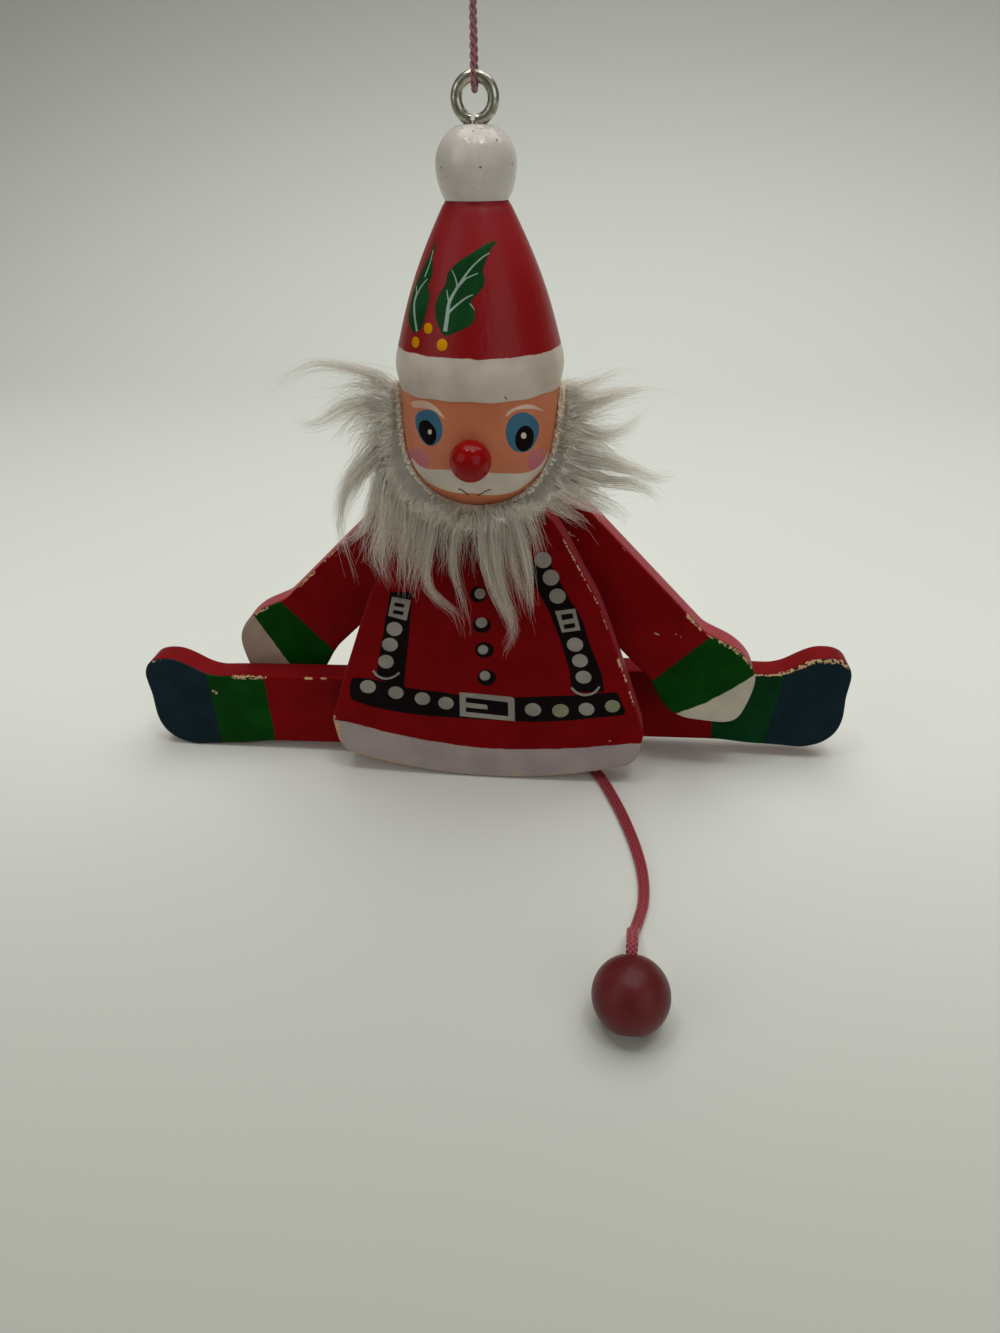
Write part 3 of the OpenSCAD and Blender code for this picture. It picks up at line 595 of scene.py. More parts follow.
CHIN_FLAT_R = 4.5
jaw_turn = math.acos(CHIN_FLAT_R / HEAD_R)
JAW_HIGH = (CHEEK - CHIN) / math.sin(jaw_turn)
head_profile = [(0, HEAD_TOP - 0.02), (HEAD_R - 0.3, HEAD_TOP - 0.02), (HEAD_R - 0.05, HEAD_TOP - 0.2)]
head_profile += [(HEAD_R, HEAD_TOP - 0.5 - 1.3 * k) for k in range(7)]
for k in range(25):
    t = jaw_turn * k / 24
    head_profile.append((HEAD_R * math.cos(t), CHEEK - JAW_HIGH * math.sin(t)))
head_profile.append((0, CHIN))
head = turned("head_turned", head_profile, [flesh_paint], "figure", ["head"])


def bead_profile(radius, half, flat_top, flat_low, bore, steps=24):
    """The round profile of a bored bead, from its top flat to its lower flat and up the bore."""
    rows = []
    for flat, up in ((flat_top, True), (flat_low, False)):
        lowest = math.acos(flat / radius)
        for k in range(steps + 1):
            t = lowest * (1 - k / steps if up else k / steps)
            rows.append((radius * math.cos(t), (half if up else -half) * math.sin(t) / math.sin(lowest)))
    return [(bore, half)] + rows[:steps] + rows[steps + 1:] + [(bore, -half)]


# The pompom is a bead that sits on the hat's top, with a low dome round the screw eye's hole.
POMPOM_R, POMPOM_HALF, EYE_HOLE_R = 6.2, 4.8, 0.9
pompom_profile = bead_profile(POMPOM_R, POMPOM_HALF, 3.2, HAT_TOP_R, EYE_HOLE_R)
pompom_profile[:1] = [(EYE_HOLE_R, 5.12), (1.8, 5.08), (2.6, 4.96)]
turned("pompom_turned", pompom_profile, [pompom_paint], "figure", ["pompom"],
       centre=(0, 0, -37.9))
NOSE_R = 3.4
nose_turns = [math.pi * k / 32 for k in range(1, 22)]
nose_profile = [(0, NOSE_R)] + [(NOSE_R * math.sin(a), NOSE_R * math.cos(a)) for a in nose_turns] + [(0, -2.6)]
turned("nose_turned", nose_profile, [nose_paint], "figure", ["nose"],
       centre=(0, -HEAD_R - 1.7, -79.0), axis=(0, -1, 0), steps=72)

# %% Pull bead
BEAD_R, BEAD_FLAT, BEAD_BORE = 6.0, 1.6, 1.5
bead_half = BEAD_R * math.sin(math.acos(BEAD_FLAT / BEAD_R))
bead = turned("pull_bead_turned", bead_profile(BEAD_R, bead_half, BEAD_FLAT, BEAD_FLAT, BEAD_BORE), [wine_stain],
              "bead_run", ["pull_bead"], centre=(28.7, -61.5, -146.3), axis=(0, 0.788, 0.616))
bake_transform(pull)

# %% [markdown]
# ## Sawn plywood
# Coat, arms and legs are sawn from 6 mm birch plywood, sanded round at their edges and then
# painted. The outline is read from the CAD node's front face, so the piece stays where the
# node is. The front is filled with small triangles that carry the distance to the edge, the
# distance to each painted border, and how much of the paint is scraped off there.

# %% Outlines of the sawn pieces
def front_outline(node):
    """The outer edge of a node's front face, as (x, z) in millimetres, and the face's Y."""
    shape = bmesh.new()
    shape.from_mesh(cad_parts[node].data)
    bmesh.ops.remove_doubles(shape, verts=shape.verts, dist=1e-6)
    front = min(v.co.y for v in shape.verts)
    flat = {f for f in shape.faces if all(abs(v.co.y - front) < 1e-6 for v in f.verts)}
    rim = [e for e in shape.edges if sum(f in flat for f in e.link_faces) == 1]
    after = {}
    for edge in rim:
        for a, b in (edge.verts, reversed(edge.verts)):
            after.setdefault(a.index, []).append(b)
    spots = {v.index: v for e in rim for v in e.verts}
    loops = []
    while spots:
        here = next(iter(spots.values()))
        loop = []
        while here is not None:
            loop.append((here.co.x / MM, here.co.z / MM))
            spots.pop(here.index)
            here = next((n for n in after[here.index] if n.index in spots), None)
        loops.append(loop)
    shape.free()
    longest = max(loops, key=lambda l: sum((Vector(a) - Vector(b)).length for a, b in zip(l, l[1:])))
    return longest, front / MM


def anticlockwise(points):
    """The points of a flat loop as vectors, in anticlockwise order."""
    loop = [Vector(p[:2]) for p in points]
    if sum(a.x * b.y - b.x * a.y for a, b in zip(loop, loop[1:] + loop[:1])) < 0:
        loop.reverse()
    return loop


def sanded(points, spacing=0.6, passes=3):
    """The loop at even spacing, anticlockwise, its corners eased as by sanding."""
    loop = anticlockwise(points)
    even = []
    for a, b in zip(loop, loop[1:] + loop[:1]):
        count = max(1, round((b - a).length / spacing))
        even += [a.lerp(b, k / count) for k in range(count)]
    for _ in range(passes):
        even = [p * 0.5 + (even[i - 1] + even[(i + 1) % len(even)]) * 0.25 for i, p in enumerate(even)]
    return even


def inset(loop, by):
    """The loop moved inwards."""
    moved = []
    for i, p in enumerate(loop):
        run = (loop[(i + 1) % len(loop)] - loop[i - 1]).normalized()
        moved.append(p + Vector((-run.y, run.x)) * by)
    return moved


def inside(loop, p):
    """Whether a point is inside a loop."""
    within = False
    for a, b in zip(loop, loop[1:] + loop[:1]):
        if (a.y > p.y) != (b.y > p.y) and p.x < a.x + (p.y - a.y) / (b.y - a.y) * (b.x - a.x):
            within = not within
    return within


def edge_distance(loop, p):
    """The distance of a point from a loop."""
    best = 1e9
    for a, b in zip(loop, loop[1:] + loop[:1]):
        foot, t = intersect_point_line(p, a, b)
        foot = a if t < 0 else b if t > 1 else foot.to_2d()
        best = min(best, (foot - p).length)
    return best


def filled(loop, spacing, margin, marked=()):
    """A loop's inside in triangles, with even and marked points in it. The loop's points come first."""
    xs, ys = [p.x for p in loop], [p.y for p in loop]
    extra = []
    rows = int((max(ys) - min(ys)) / spacing) + 1
    columns = int((max(xs) - min(xs)) / spacing) + 1
    for r in range(rows):
        for c in range(columns):
            p = Vector((min(xs) + (c + 0.5 * (r % 2)) * spacing, min(ys) + (r + 0.37) * spacing))
            if inside(loop, p) and min((q - p).length_squared for q in loop) > margin * margin:
                extra.append(p)
    extra += [p for p in marked if inside(loop, p) and edge_distance(loop, p) > 0.12]
    count = len(loop)
    edges = [(k, (k + 1) % count) for k in range(count)]
    points, _, faces, *_ = delaunay_2d_cdt(loop + extra, edges, [list(range(count))], 1, 1e-7)
    return points, faces


# %% Sawn pieces
PLY = 6.0
FRONT_EASE, BACK_EASE, PAINTED_TO = 0.5, 0.4, 0.3
WALL_SPANS = 5
FRONT_ROUNDING = ((FRONT_EASE, 0), (0.27, 0.06), (0.08, 0.24), (0, FRONT_EASE))
BACK_ROUNDING = ((0, BACK_EASE), (0.12, 0.12), (BACK_EASE, 0))
BESIDE_SCRAPE = (-1.1, -0.5, 0, 0.5, 1.1)


def lost_paint(point, start, end, size):
    """How much paint is lost at a point near a scrape from start to end."""
    foot, t = intersect_point_line(point, start, end) if start != end else (start, 0)
    foot = start if t < 0 else end if t > 1 else foot
    return max(0.0, 0.6 * (1 - (point - foot).length / size))


def onto_edge(loop, spot):
    """A scrape's end moved onto the piece's edge where it is near, because edges wear first."""
    near = min(inset(loop, 0.15), key=lambda p: (p - Vector((spot.x, spot.z))).length)
    close = (near - Vector((spot.x, spot.z))).length < 2.3
    return Vector((near.x, spot.y, near.y)) if close else spot


def along_scrapes(chips):
    """Points along and beside each scrape, so that the face's triangles can show it."""
    marked = []
    for start, end, size in chips:
        a, b = Vector((start.x, start.z)), Vector((end.x, end.z))
        run = (b - a) if (b - a).length > 0.1 else Vector((0.1, 0))
        beside = Vector((-run.y, run.x)).normalized() * size
        count = max(2, round(run.length / 0.35))
        marked += [a + run * (k / count) + beside * w for k in range(-1, count + 2) for w in BESIDE_SCRAPE]
    return marked


def sawn(name, node, body, paint, borders, chips=(), wraps=False):
    """A sawn and painted plywood piece: borders gives its painted zones, chips its lost paint."""
    raw, front = front_outline(node)
    loop = sanded(raw)
    chips = [(onto_edge(loop, start), onto_edge(loop, end), size) for start, end, size in chips]
    rings = [(inset(loop, by), front + deep) for by, deep in FRONT_ROUNDING]
    wall_high = PLY - FRONT_EASE - BACK_EASE
    rings += [(loop, front + FRONT_EASE + wall_high * k / WALL_SPANS) for k in range(1, WALL_SPANS)]
    rings += [(inset(loop, by), front + PLY - deep) for by, deep in BACK_ROUNDING]
    points, faces, kinds = [], [], []
    for ring, y in rings:
        points += [(p.x, y, p.y) for p in ring]
    count = len(loop)
    for r in range(len(rings) - 1):
        for k in range(count):
            n = (k + 1) % count
            faces.append((r * count + k, r * count + n, (r + 1) * count + n, (r + 1) * count + k))
            kinds.append(0)
    for ring_at, y, back in ((0, front, False), (len(rings) - 1, front + PLY, True)):
        spots, tris = (filled(rings[ring_at][0], 4.0, 2.0) if back
                       else filled(rings[ring_at][0], 1.0, 0.55, along_scrapes(chips)))
        first = len(points)
        points += [(p.x, y, p.y) for p in spots[count:]]
        for tri in tris:
            tri = [ring_at * count + v if v < count else first + v - count for v in tri]
            faces.append(tri[::-1] if back else tri)
            kinds.append(int(back))
    rim, chip, wall = [], [], []
    marks = {key: [] for key in borders}
    for x, y, z in points:
        flat = Vector((x, z))
        in_face = edge_distance(loop, flat) if y < front + PAINTED_TO else 0.0
        rim.append(max(in_face, y - front))
        wall.append(min(1.0, max(0.0, (y - front - 0.2) / 0.4)))
        chip.append(max([0.0] + [lost_paint(Vector((x, y, z)), *row) for row in chips]))
        for key, border in borders.items():
            painted = wraps or y < front + PAINTED_TO
            marks[key].append(max(-1.0, min(1.0, border(x, z))) if painted else -1.0)
    values = {"rim": rim, "chip": chip, "wall": wall, **marks}
    made = piece(name, points, faces, [paint, plywood_back], body, [node], values, kinds)
    face_outwards(made.data)
    print(name, "triangles:", triangles(made.data))


def piecewise(points, x):
    """The value at x of a line of straight pieces."""
    if x <= points[0][0]:
        return points[0][1]
    for (a, low_value), (b, high_value) in zip(points, points[1:]):
        if x <= b:
            return low_value + (high_value - low_value) * (x - a) / (b - a)
    return points[-1][1]


def scrapes(depth, rows):
    """Places on a sawn face where paint is lost: a pixel, another one, and a size in millimetres."""
    return [(at_depth(x, y, depth), at_depth(end_x, end_y, depth), size) for x, y, end_x, end_y, size in rows]


# %% [markdown]
# The coat's hem band is painted pale over the red, and the arms end in a green cuff and a
# pale mitten, the legs in a green gaiter and a dark boot, all on the front only: the sawn
# edges stay red. The borders were read in the photograph along each limb.

# %% Coat, arms and legs
HEM_LINE = [(336, 720), (345, 721), (360, 725), (375, 729), (400, 735), (430, 741), (460, 745.5), (490, 748.5),
            (520, 749.5), (550, 749), (580, 748), (610, 745.5), (634, 743.5)]
hem_points = [(p.x, p.z) for p in (at_depth(x, y, COAT_FRONT) for x, y in HEM_LINE)]
sawn("coat_sawn", "coat_board", "figure", coat_paint, {"hem": lambda x, z: piecewise(hem_points, x) - z},
     scrapes(COAT_FRONT, [(335, 717, 333, 742, 1.3), (513, 776, 519, 777, 0.9), (487, 773, 490, 774, 0.7),
                          (573, 535, 589, 563, 0.35), (590, 566, 603, 603, 0.35), (605, 610, 611, 632, 0.25),
                          (617, 660, 624, 682, 0.6), (627, 692, 631, 707, 0.35), (638, 748, 641, 768, 0.9),
                          (350, 752, 420, 767, 0.45), (540, 778, 600, 776, 0.45)]), wraps=True)


PIVOT = {"arm": (15, -100), "leg": (11.5, -140.5)}
INNER, OUTER = 3.4, 9.8


def limb(part, side, paint, front, rest, cuff, hand, worn):
    """A sawn limb at its resting angle. Cuff and hand start at lines of (across, along) places."""
    x, z = PIVOT[part]
    way, a = (1 if side == "right" else -1), math.radians(rest)

    def border(line):
        def beyond(px, pz):
            u, v = way * px - x, pz - z
            return u * math.cos(a) - v * math.sin(a) - piecewise(line, u * math.sin(a) + v * math.cos(a))
        return beyond
    sawn(f"{part}_{side}_sawn", f"{part}_{side}", f"{side}_{part}", paint,
         {"cuff": border(cuff), "hand": border(hand)}, scrapes(front, worn))


limb("arm", "right", right_arm_paint, INNER, 46, [(-9, 34.8), (9, 34.2)],
     [(-9.4, 44), (-2.75, 46), (1.4, 46.5), (8, 47)],
     [(684, 618, 698, 630, 0.6), (700, 631, 712, 641, 0.5), (721, 641, 733, 649, 0.9), (733, 649, 745, 660, 0.7),
      (745, 660, 749, 670, 0.5), (655, 633, 659, 635, 0.35), (676, 634, 681, 637, 0.4), (616, 553, 618, 556, 0.3),
      (566, 530, 578, 540, 0.3)])
limb("arm", "left", left_arm_paint_shaded, OUTER, 44.3, [(-9, 34.8), (9, 34.2)], [(-2.6, 45), (9.6, 41.4)],
     [(301, 587, 317, 576, 0.7), (252, 611, 264, 606, 0.6), (330, 566, 345, 556, 0.45)])
limb("leg", "left", left_leg_paint, INNER, 2.5, [(-9, 37.4), (9, 37.0)], [(-9, 50.2), (9, 49.9)],
     [(232, 671, 264, 674, 0.8), (306, 674, 310, 675, 0.5), (320, 674, 324, 675, 0.5), (213, 691, 216, 693, 0.5),
      (243, 680, 247, 682, 0.5), (150, 661, 160, 662, 0.5)])
limb("leg", "right", right_leg_paint, OUTER, -0.5, [(-9, 36.8), (9, 36.0)], [(-9, 48.2), (0, 49.4), (9, 50.2)],
     [(782, 677, 800, 668, 0.9), (800, 668, 816, 660, 0.95), (816, 660, 846, 656, 0.95), (846, 657, 851, 667, 0.6),
      (755, 675, 776, 676, 0.5)])

# %% [markdown]
# ## Painted details
# Straps, belt, buttons, leaves and face are thick paint laid over the first coat. Each is a
# thin closed film: its outline is a list of photograph pixels, and lines of sight carry it
# onto the wood. It stands a few hundredths of a millimetre proud and is rounded at its edge,
# which is enough to catch the light as a real brush stroke does.

# %% Films of paint
HEAD_MIDDLE = Vector((0, 0, -80))


def surface_of(obj):
    """A function that carries a pixel's line of sight onto a turned piece."""
    mesh = obj.data
    tree = BVHTree.FromPolygons([v.co / MM for v in mesh.vertices], [p.vertices for p in mesh.polygons])

    def hit(x, y):
        ray = sight(x, y)
        spot, normal, *_ = tree.ray_cast(EYE, ray)
        if spot is None:
            spot, normal, *_ = tree.find_nearest(EYE + ray * (HEAD_MIDDLE - EYE).dot(ray))
        return spot, normal
    return hit


def on_coat(x, y):
    """Where a pixel's line of sight meets the coat's flat front."""
    return at_depth(x, y, COAT_FRONT), Vector((0, -1, 0))


on_hat, on_head = surface_of(hat), surface_of(head)
SUNK = 0.06
COAT_FILM = 0.05
BRUSH_EDGE = 0.25


def film(name, outline, surface, rise, paint, spacing=2.5, soft=2.0, over=0.0):
    """A closed film of paint from an outline of pixels, rise thick over films as thick as over."""
    loop = anticlockwise(outline)
    spots, tris = filled(loop, spacing, spacing * 0.45)
    count, total = len(loop), len(spots)
    tops, lows = [], []
    for p in spots:
        place, normal = surface(p.x, p.y)
        edge = min(1.0, edge_distance(loop, p) / soft)
        tops.append(place + normal * (over + rise * (BRUSH_EDGE + (1 - BRUSH_EDGE) * math.sqrt(edge))))
        lows.append(place - normal * SUNK)
    faces = [list(t) for t in tris] + [[v + total for v in reversed(t)] for t in tris]
    faces += [(k, k + total, (k + 1) % count + total, (k + 1) % count) for k in range(count)]
    face_outwards(piece(name, tops + lows, faces, [paint], "figure", sharp=60).data)


def blob(points, steps=2):
    """A soft closed outline through pixels."""
    return smooth_line(points, steps, closed=True)


def oval(x, y, wide, high, tilt=0.0, count=20):
    """An oval outline."""
    turn_by = math.radians(tilt)
    rows = []
    for k in range(count):
        a = 2 * math.pi * k / count
        u, v = wide * math.cos(a), high * math.sin(a)
        rows.append(Vector((x + u * math.cos(turn_by) - v * math.sin(turn_by),
                            y + u * math.sin(turn_by) + v * math.cos(turn_by))))
    return rows


def stroke(points, width, end_width, steps=4):
    """The outline of a brush stroke that narrows to end_width."""
    line = smooth_line(points, steps)
    left, right = [], []
    for i, p in enumerate(line):
        run = (line[min(i + 1, len(line) - 1)] - line[max(i - 1, 0)]).normalized()
        half = (width + (end_width - width) * i / (len(line) - 1)) / 2
        left.append(p + Vector((-run.y, run.x)) * half)
        right.append(p - Vector((-run.y, run.x)) * half)
    return left + right[::-1]


black_paint = enamel("enamel_black", "#16090c", "#0d0507", roughness=0.4)
silver_paint = enamel("enamel_silver_grey", "#9a948b", "#868078", roughness=0.45)
gold_paint = enamel("enamel_dull_gold", "#8f9077", "#7c7c62", roughness=0.4)
blue_paint = enamel("enamel_blue", "#416e88", "#3a647d", roughness=0.4)
leaf_paint = enamel("enamel_leaf_green", "#1c4a26", "#123c1b", roughness=0.45)
vein_paint = enamel("enamel_vein_grey", "#a3b8aa", "#8fa697", roughness=0.5)
berry_paint = enamel("enamel_yellow", "#e09a08", "#c98500", roughness=0.4)
cheek_paint = enamel("enamel_pink", "#b9687a", "#bd7470", roughness=0.45)
brow_paint = enamel("enamel_brow", "#e2c4b0", "#d0a890", roughness=0.45)
lip_paint = enamel("enamel_dark_red", "#6d2019", "#5a1812", roughness=0.45)

# %% Holly on the hat
leaf_right = [(444.5, 335.7), (438.2, 325.9), (435.4, 314.7), (435.8, 303.5), (440.3, 292.2), (445.9, 283.8),
              (447.3, 274), (453, 267), (458.6, 261.4), (469.8, 254.4), (478.2, 248.8), (488, 243.1),
              (497.2, 240.6), (492.2, 247.3), (488, 255.8), (485.2, 262.8), (483.1, 269.8), (484.5, 278.2),
              (484.1, 285.2), (480.3, 290.8), (476.8, 295.1), (472.6, 299.3), (471.9, 303.5), (474, 309.1),
              (475.4, 314.7), (474.3, 320.3), (469.8, 325.9), (461.4, 330.1), (453, 333.6)]
leaf_left = [(436.8, 240.3), (434.7, 250.2), (432.6, 260), (433, 269.8), (431.2, 278.2), (428.4, 286.6),
             (429.8, 295.1), (428.4, 303.5), (425.6, 314.7), (422.1, 327.3), (417.9, 332.2), (412.3, 331.5),
             (408.8, 321.7), (408.8, 311.9), (413, 292.2), (422.1, 269.8), (427.7, 258.6), (434, 244.5)]
film("leaf_right", blob(leaf_right), on_hat, 0.05, leaf_paint)
film("leaf_left", blob(leaf_left), on_hat, 0.05, leaf_paint)
veins = [([(445.2, 331.5), (447.3, 317.5), (448.8, 304.9), (453, 295.1), (460, 283.8), (469.8, 269.8),
           (481, 258.6), (489.4, 253)], 4.2, 1.0),
         ([(448, 313.5), (453, 308.5), (460, 302.5), (467, 297.5), (473, 294.8)], 2.6, 1.0),
         ([(456, 289), (462, 282.6), (467, 278.2), (478.2, 273.3)], 2.4, 0.9),
         ([(457.5, 286.4), (455.4, 277.8), (451.8, 269.8)], 1.6, 0.7),
         ([(449.3, 304.7), (448, 297), (446.8, 289.8)], 1.8, 0.7), ([(469.8, 303.5), (474.7, 309.8)], 1.3, 0.6),
         ([(417.2, 331.5), (414.8, 314.7), (415.1, 300.7), (420.7, 288), (427.7, 278.9)], 2.0, 0.8),
         ([(415.3, 299), (416.8, 293), (416.6, 286)], 1.2, 0.6), ([(425, 277), (430, 264), (433.5, 250)], 1.1, 0.6)]
for k, (line, wide, narrow) in enumerate(veins):
    film("vein_%d" % k, stroke(line, wide, narrow), on_hat, 0.05, vein_paint, 2.5, 1.0,
         COAT_FILM)
berries = [(415.8, 342.3, 3.6, 5.6), (428.3, 328.5, 4.2, 5.6), (442.2, 345, 5.3, 6.2)]
for k, (x, y, wide, high) in enumerate(berries):
    film("berry_%d" % k, oval(x, y, wide, high), on_hat, 0.1, berry_paint, 1.8, 3.0,
         COAT_FILM)

# %% Face
band_edge = [(403, 386), (411, 389), (425, 392), (440, 395.5), (455, 397.5), (470, 399), (482, 399.5), (484, 401),
             (490, 401.5), (497, 401.5), (502, 400.5), (506, 398), (507, 396.5), (516, 398.5), (525, 398),
             (535, 396), (545, 393.5), (553, 390.5)]
band_top = [(553, 384), (535, 388), (510, 391), (480, 391.5), (450, 389), (425, 385), (404, 380)]
film("band_drips", band_edge + band_top, on_head, 0.12, white_paint, 3.0, 2.0)
face = [("cheek_left", blob([(406, 452), (412, 449), (420, 449), (427, 453), (431, 460), (428, 467), (420, 470),
                             (412, 467), (407, 460)], 4), 0.03, cheek_paint),
        ("cheek_right", blob([(527, 462), (529, 454), (535, 449), (542, 448), (547, 451), (547, 458), (543, 465),
                              (536, 470), (529, 468)], 4), 0.03, cheek_paint),
        ("cheek_low_left", blob([(407, 466), (411, 467), (417, 476), (423, 483), (420, 485), (412, 478)], 4), 0.03,
         cheek_paint),
        ("cheek_low_right", blob([(547, 463), (549, 466), (541, 479), (534, 485), (533, 482), (541, 472)], 4), 0.03,
         cheek_paint),
        ("iris_left", blob([(421, 411), (428, 409.5), (435, 412), (440, 419), (442.5, 428), (441.5, 437),
                            (437, 443.5), (431, 446), (425, 443.5), (419.5, 436), (416, 426), (415.3, 419),
                            (417.5, 413)]), 0.05, blue_paint),
        ("iris_right", blob([(523, 412.2), (530, 414), (536, 419), (539, 426), (538.5, 434), (535, 443),
                             (529.5, 450), (523, 452), (516, 451.5), (509.5, 446), (506.5, 438), (505.5, 431),
                             (507.5, 423), (512, 416.5), (517, 413.5)]), 0.05, blue_paint),
        ("pupil_left", blob([(421.5, 421), (427, 420), (432, 424), (436, 430), (436.5, 438), (434, 443),
                             (430, 445), (425, 442), (421, 436), (419, 430), (419.5, 424)]), 0.04, black_paint),
        ("pupil_right", blob([(521, 427), (526, 425.5), (531, 428), (533.5, 434), (533, 442), (529.5, 448),
                              (524, 451.5), (518.5, 449.5), (515.5, 444), (515.2, 437), (517.5, 431)]), 0.04,
         black_paint),
        ("glint_left", oval(430.2, 431.8, 2.0, 2.6, count=14), 0.04, white_paint),
        ("glint_right", oval(523.4, 435.5, 2.7, 3.2, count=14), 0.04, white_paint),
        ("brow_left", blob([(411.5, 402), (418, 400.3), (426, 401), (432, 404), (438, 409), (442.5, 414.5),
                            (445, 419.5), (440, 415.5), (434, 411), (427, 408.5), (419, 408), (414, 408),
                            (411.5, 405)]), 0.04, brow_paint),
        ("brow_right", blob([(505.5, 417), (507, 413), (511, 409.5), (518, 406.5), (526, 404.5), (534, 405.5),
                             (540, 408.5), (544.5, 411.5), (538, 410), (531, 408.8), (523, 409), (515, 410.5),
                             (510, 414)]), 0.04, brow_paint),
        ("moustache", blob([(411.8, 457.5), (415, 461), (419, 465), (424, 467.8), (429, 469.3), (440, 469.5),
                            (465, 470.5), (490, 472.8), (512, 473.6), (522, 473.3), (530, 471.5), (536, 468.5),
                            (541, 464), (545, 458), (548, 451.5), (546.5, 459), (543, 466), (538, 473), (531, 480),
                            (523, 486.5), (514, 491.5), (504, 494), (494, 495), (482, 494.7), (473, 493),
                            (465, 493.5), (455, 492.3), (445, 490), (436, 486.5), (428, 481.5), (421, 475),
                            (415.5, 467.5), (412.5, 461)]), 0.06, white_paint),
        ("mouth_left", stroke([(458.5, 488.5), (462, 489.5), (465, 492), (468.5, 494.5)], 1.2, 0.9), 0.03, lip_paint),
        ("mouth_right", stroke([(491, 489), (486, 490.5), (482, 493), (477, 495)], 1.2, 0.9), 0.03, lip_paint)]
# How thick the films under a part of the face are
UNDER = {"pupil": 0.05, "glint": 0.09, "moustache": 0.03, "mouth": 0.09}
for name, outline, rise, paint in face:
    film(name, outline, on_head, rise, paint, 2.2, 1.5, UNDER.get(name.split("_")[0], 0.0))

# %% Straps and belt
strap_left = [(390, 592), (388, 606), (385, 620), (383, 635), (380, 650), (378, 664), (377, 672), (375, 678),
              (404, 689), (404.5, 680), (405, 672), (407, 655), (409, 637), (410, 622), (411, 608), (413, 592)]
strap_right = [(531, 560), (533, 578), (536, 588), (543, 600), (549, 612), (554, 624), (560, 640), (565, 655),
               (569, 670), (572, 692), (604, 692), (602, 675), (596, 660), (590, 645), (584, 625), (578, 612),
               (570, 600), (562, 585), (556, 575), (549, 560)]
belt = [(352, 678), (360, 677.5), (372, 679), (404, 687), (420, 689.5), (440, 692), (460, 695), (488, 697),
        (514, 697.5), (530, 697), (550, 696), (570, 695.5), (602, 693), (612, 692.5), (617, 692.2), (622, 703),
        (625.5, 711), (624, 714.5), (620, 715.5), (605, 717), (590, 718.5), (570, 720.5), (550, 721.5),
        (530, 722), (514, 721), (488, 720), (460, 718), (450, 717.5), (430, 716), (410, 713.5), (390, 710.5),
        (370, 706), (352, 700), (350, 695), (350, 685)]
for name, outline in (("strap_left", strap_left), ("strap_right", strap_right), ("belt", belt)):
    film(name, outline, on_coat, COAT_FILM, black_paint, 6.0, 2.0)

studs = [(394.5, 628.8, 8, 7), (390, 644.5, 8, 6.8), (386, 661.5, 7.8, 6.8), (543, 560, 8.5, 8), (551, 577.5, 8.3, 8),
         (557.5, 596, 8.3, 7.5), (575, 644.5, 8.2, 7), (580, 660.5, 8, 6.6), (583.5, 677, 8, 6.4),
         (368, 686.5, 8, 6.5), (396, 692.5, 7.7, 6.2), (422.5, 698.5, 7.8, 6.3), (446, 703, 7.8, 6.2),
         (533, 709.5, 8.2, 6.5), (586.5, 709, 8, 6.4)]
for k, (x, y, wide, high) in enumerate(studs):
    film("stud_%02d" % k, oval(x, y, wide, high, 8), on_coat, 0.09, silver_paint, 3.0, 4.0,
         COAT_FILM)
for k, (x, y, wide, high) in enumerate([(560.5, 710.5, 8.4, 6.6), (612.5, 706, 7.6, 6.2)]):
    film("stud_gold_%d" % k, oval(x, y, wide, high), on_coat, 0.09, gold_paint, 3.0, 4.0,
         COAT_FILM)
arcs = [[(373, 670.5), (378, 676), (385, 678.5), (393, 677), (399.5, 672.5)],
        [(571.5, 687.5), (576, 692), (583, 694.8), (591, 694), (596, 691), (599.5, 686.5)]]
for k, line in enumerate(arcs):
    film("strap_arc_%d" % k, stroke(line, 2.4, 2.0), on_coat, 0.06, silver_paint, 2.5, 1.0,
         COAT_FILM)

# %% Buckles and buttons
plates = [("buckle_belt", [(459.5, 692), (512, 697), (514.5, 699), (515, 721), (509, 720.5), (460, 716)],
           [[(466, 697), (508, 702), (508.5, 716), (466, 711.5)]]),
          ("buckle_left", [(392, 596.5), (411, 600), (406.5, 620.5), (388, 615.5)],
           [[(395, 602), (405, 604), (404, 607.5), (394, 605.8)],
            [(394, 609.5), (404, 611.5), (403, 615), (392.5, 613)]]),
          ("buckle_right", [(555, 611), (575, 608.5), (580.5, 630), (562, 632.5)],
           [[(561, 614.5), (572.5, 612.8), (573.5, 618), (562, 620)],
            [(563.5, 624.5), (574.5, 622.5), (575.5, 627), (564.5, 629)]])]
PLATE, HOLE = 0.07, 0.03
for name, outer, holes in plates:
    film(name, outer, on_coat, PLATE, silver_paint, 4.0, 1.5, COAT_FILM)
    for k, hole in enumerate(holes):
        film("%s_hole_%d" % (name, k), hole, on_coat, HOLE, black_paint, 4.0, 1.0,
             COAT_FILM + PLATE)
film("buckle_prong", [(466, 702), (487, 704.5), (488, 709), (466, 707)], on_coat, 0.05, silver_paint,
     4.0, 1.0, COAT_FILM + PLATE + HOLE)
buttons = [(478, 594.5, 8, 8, 480, 593.5, 5.5, 5.3), (482, 625, 9, 8, 481.5, 622.5, 5.8, 5.2),
           (484.5, 650, 9.5, 8, 483, 649.5, 5.2, 4.6), (486.7, 677.7, 9.2, 8.2, 485, 675.5, 5.3, 4.8)]
for k, (x, y, wide, high, sx, sy, sw, sh) in enumerate(buttons):
    film("button_%d" % k, oval(x, y, wide, high, count=24), on_coat, COAT_FILM, black_paint,
         3.5, 3.0)
    film("button_dot_%d" % k, oval(sx, sy, sw, sh), on_coat, 0.12, silver_paint, 2.5, 3.0,
         COAT_FILM)

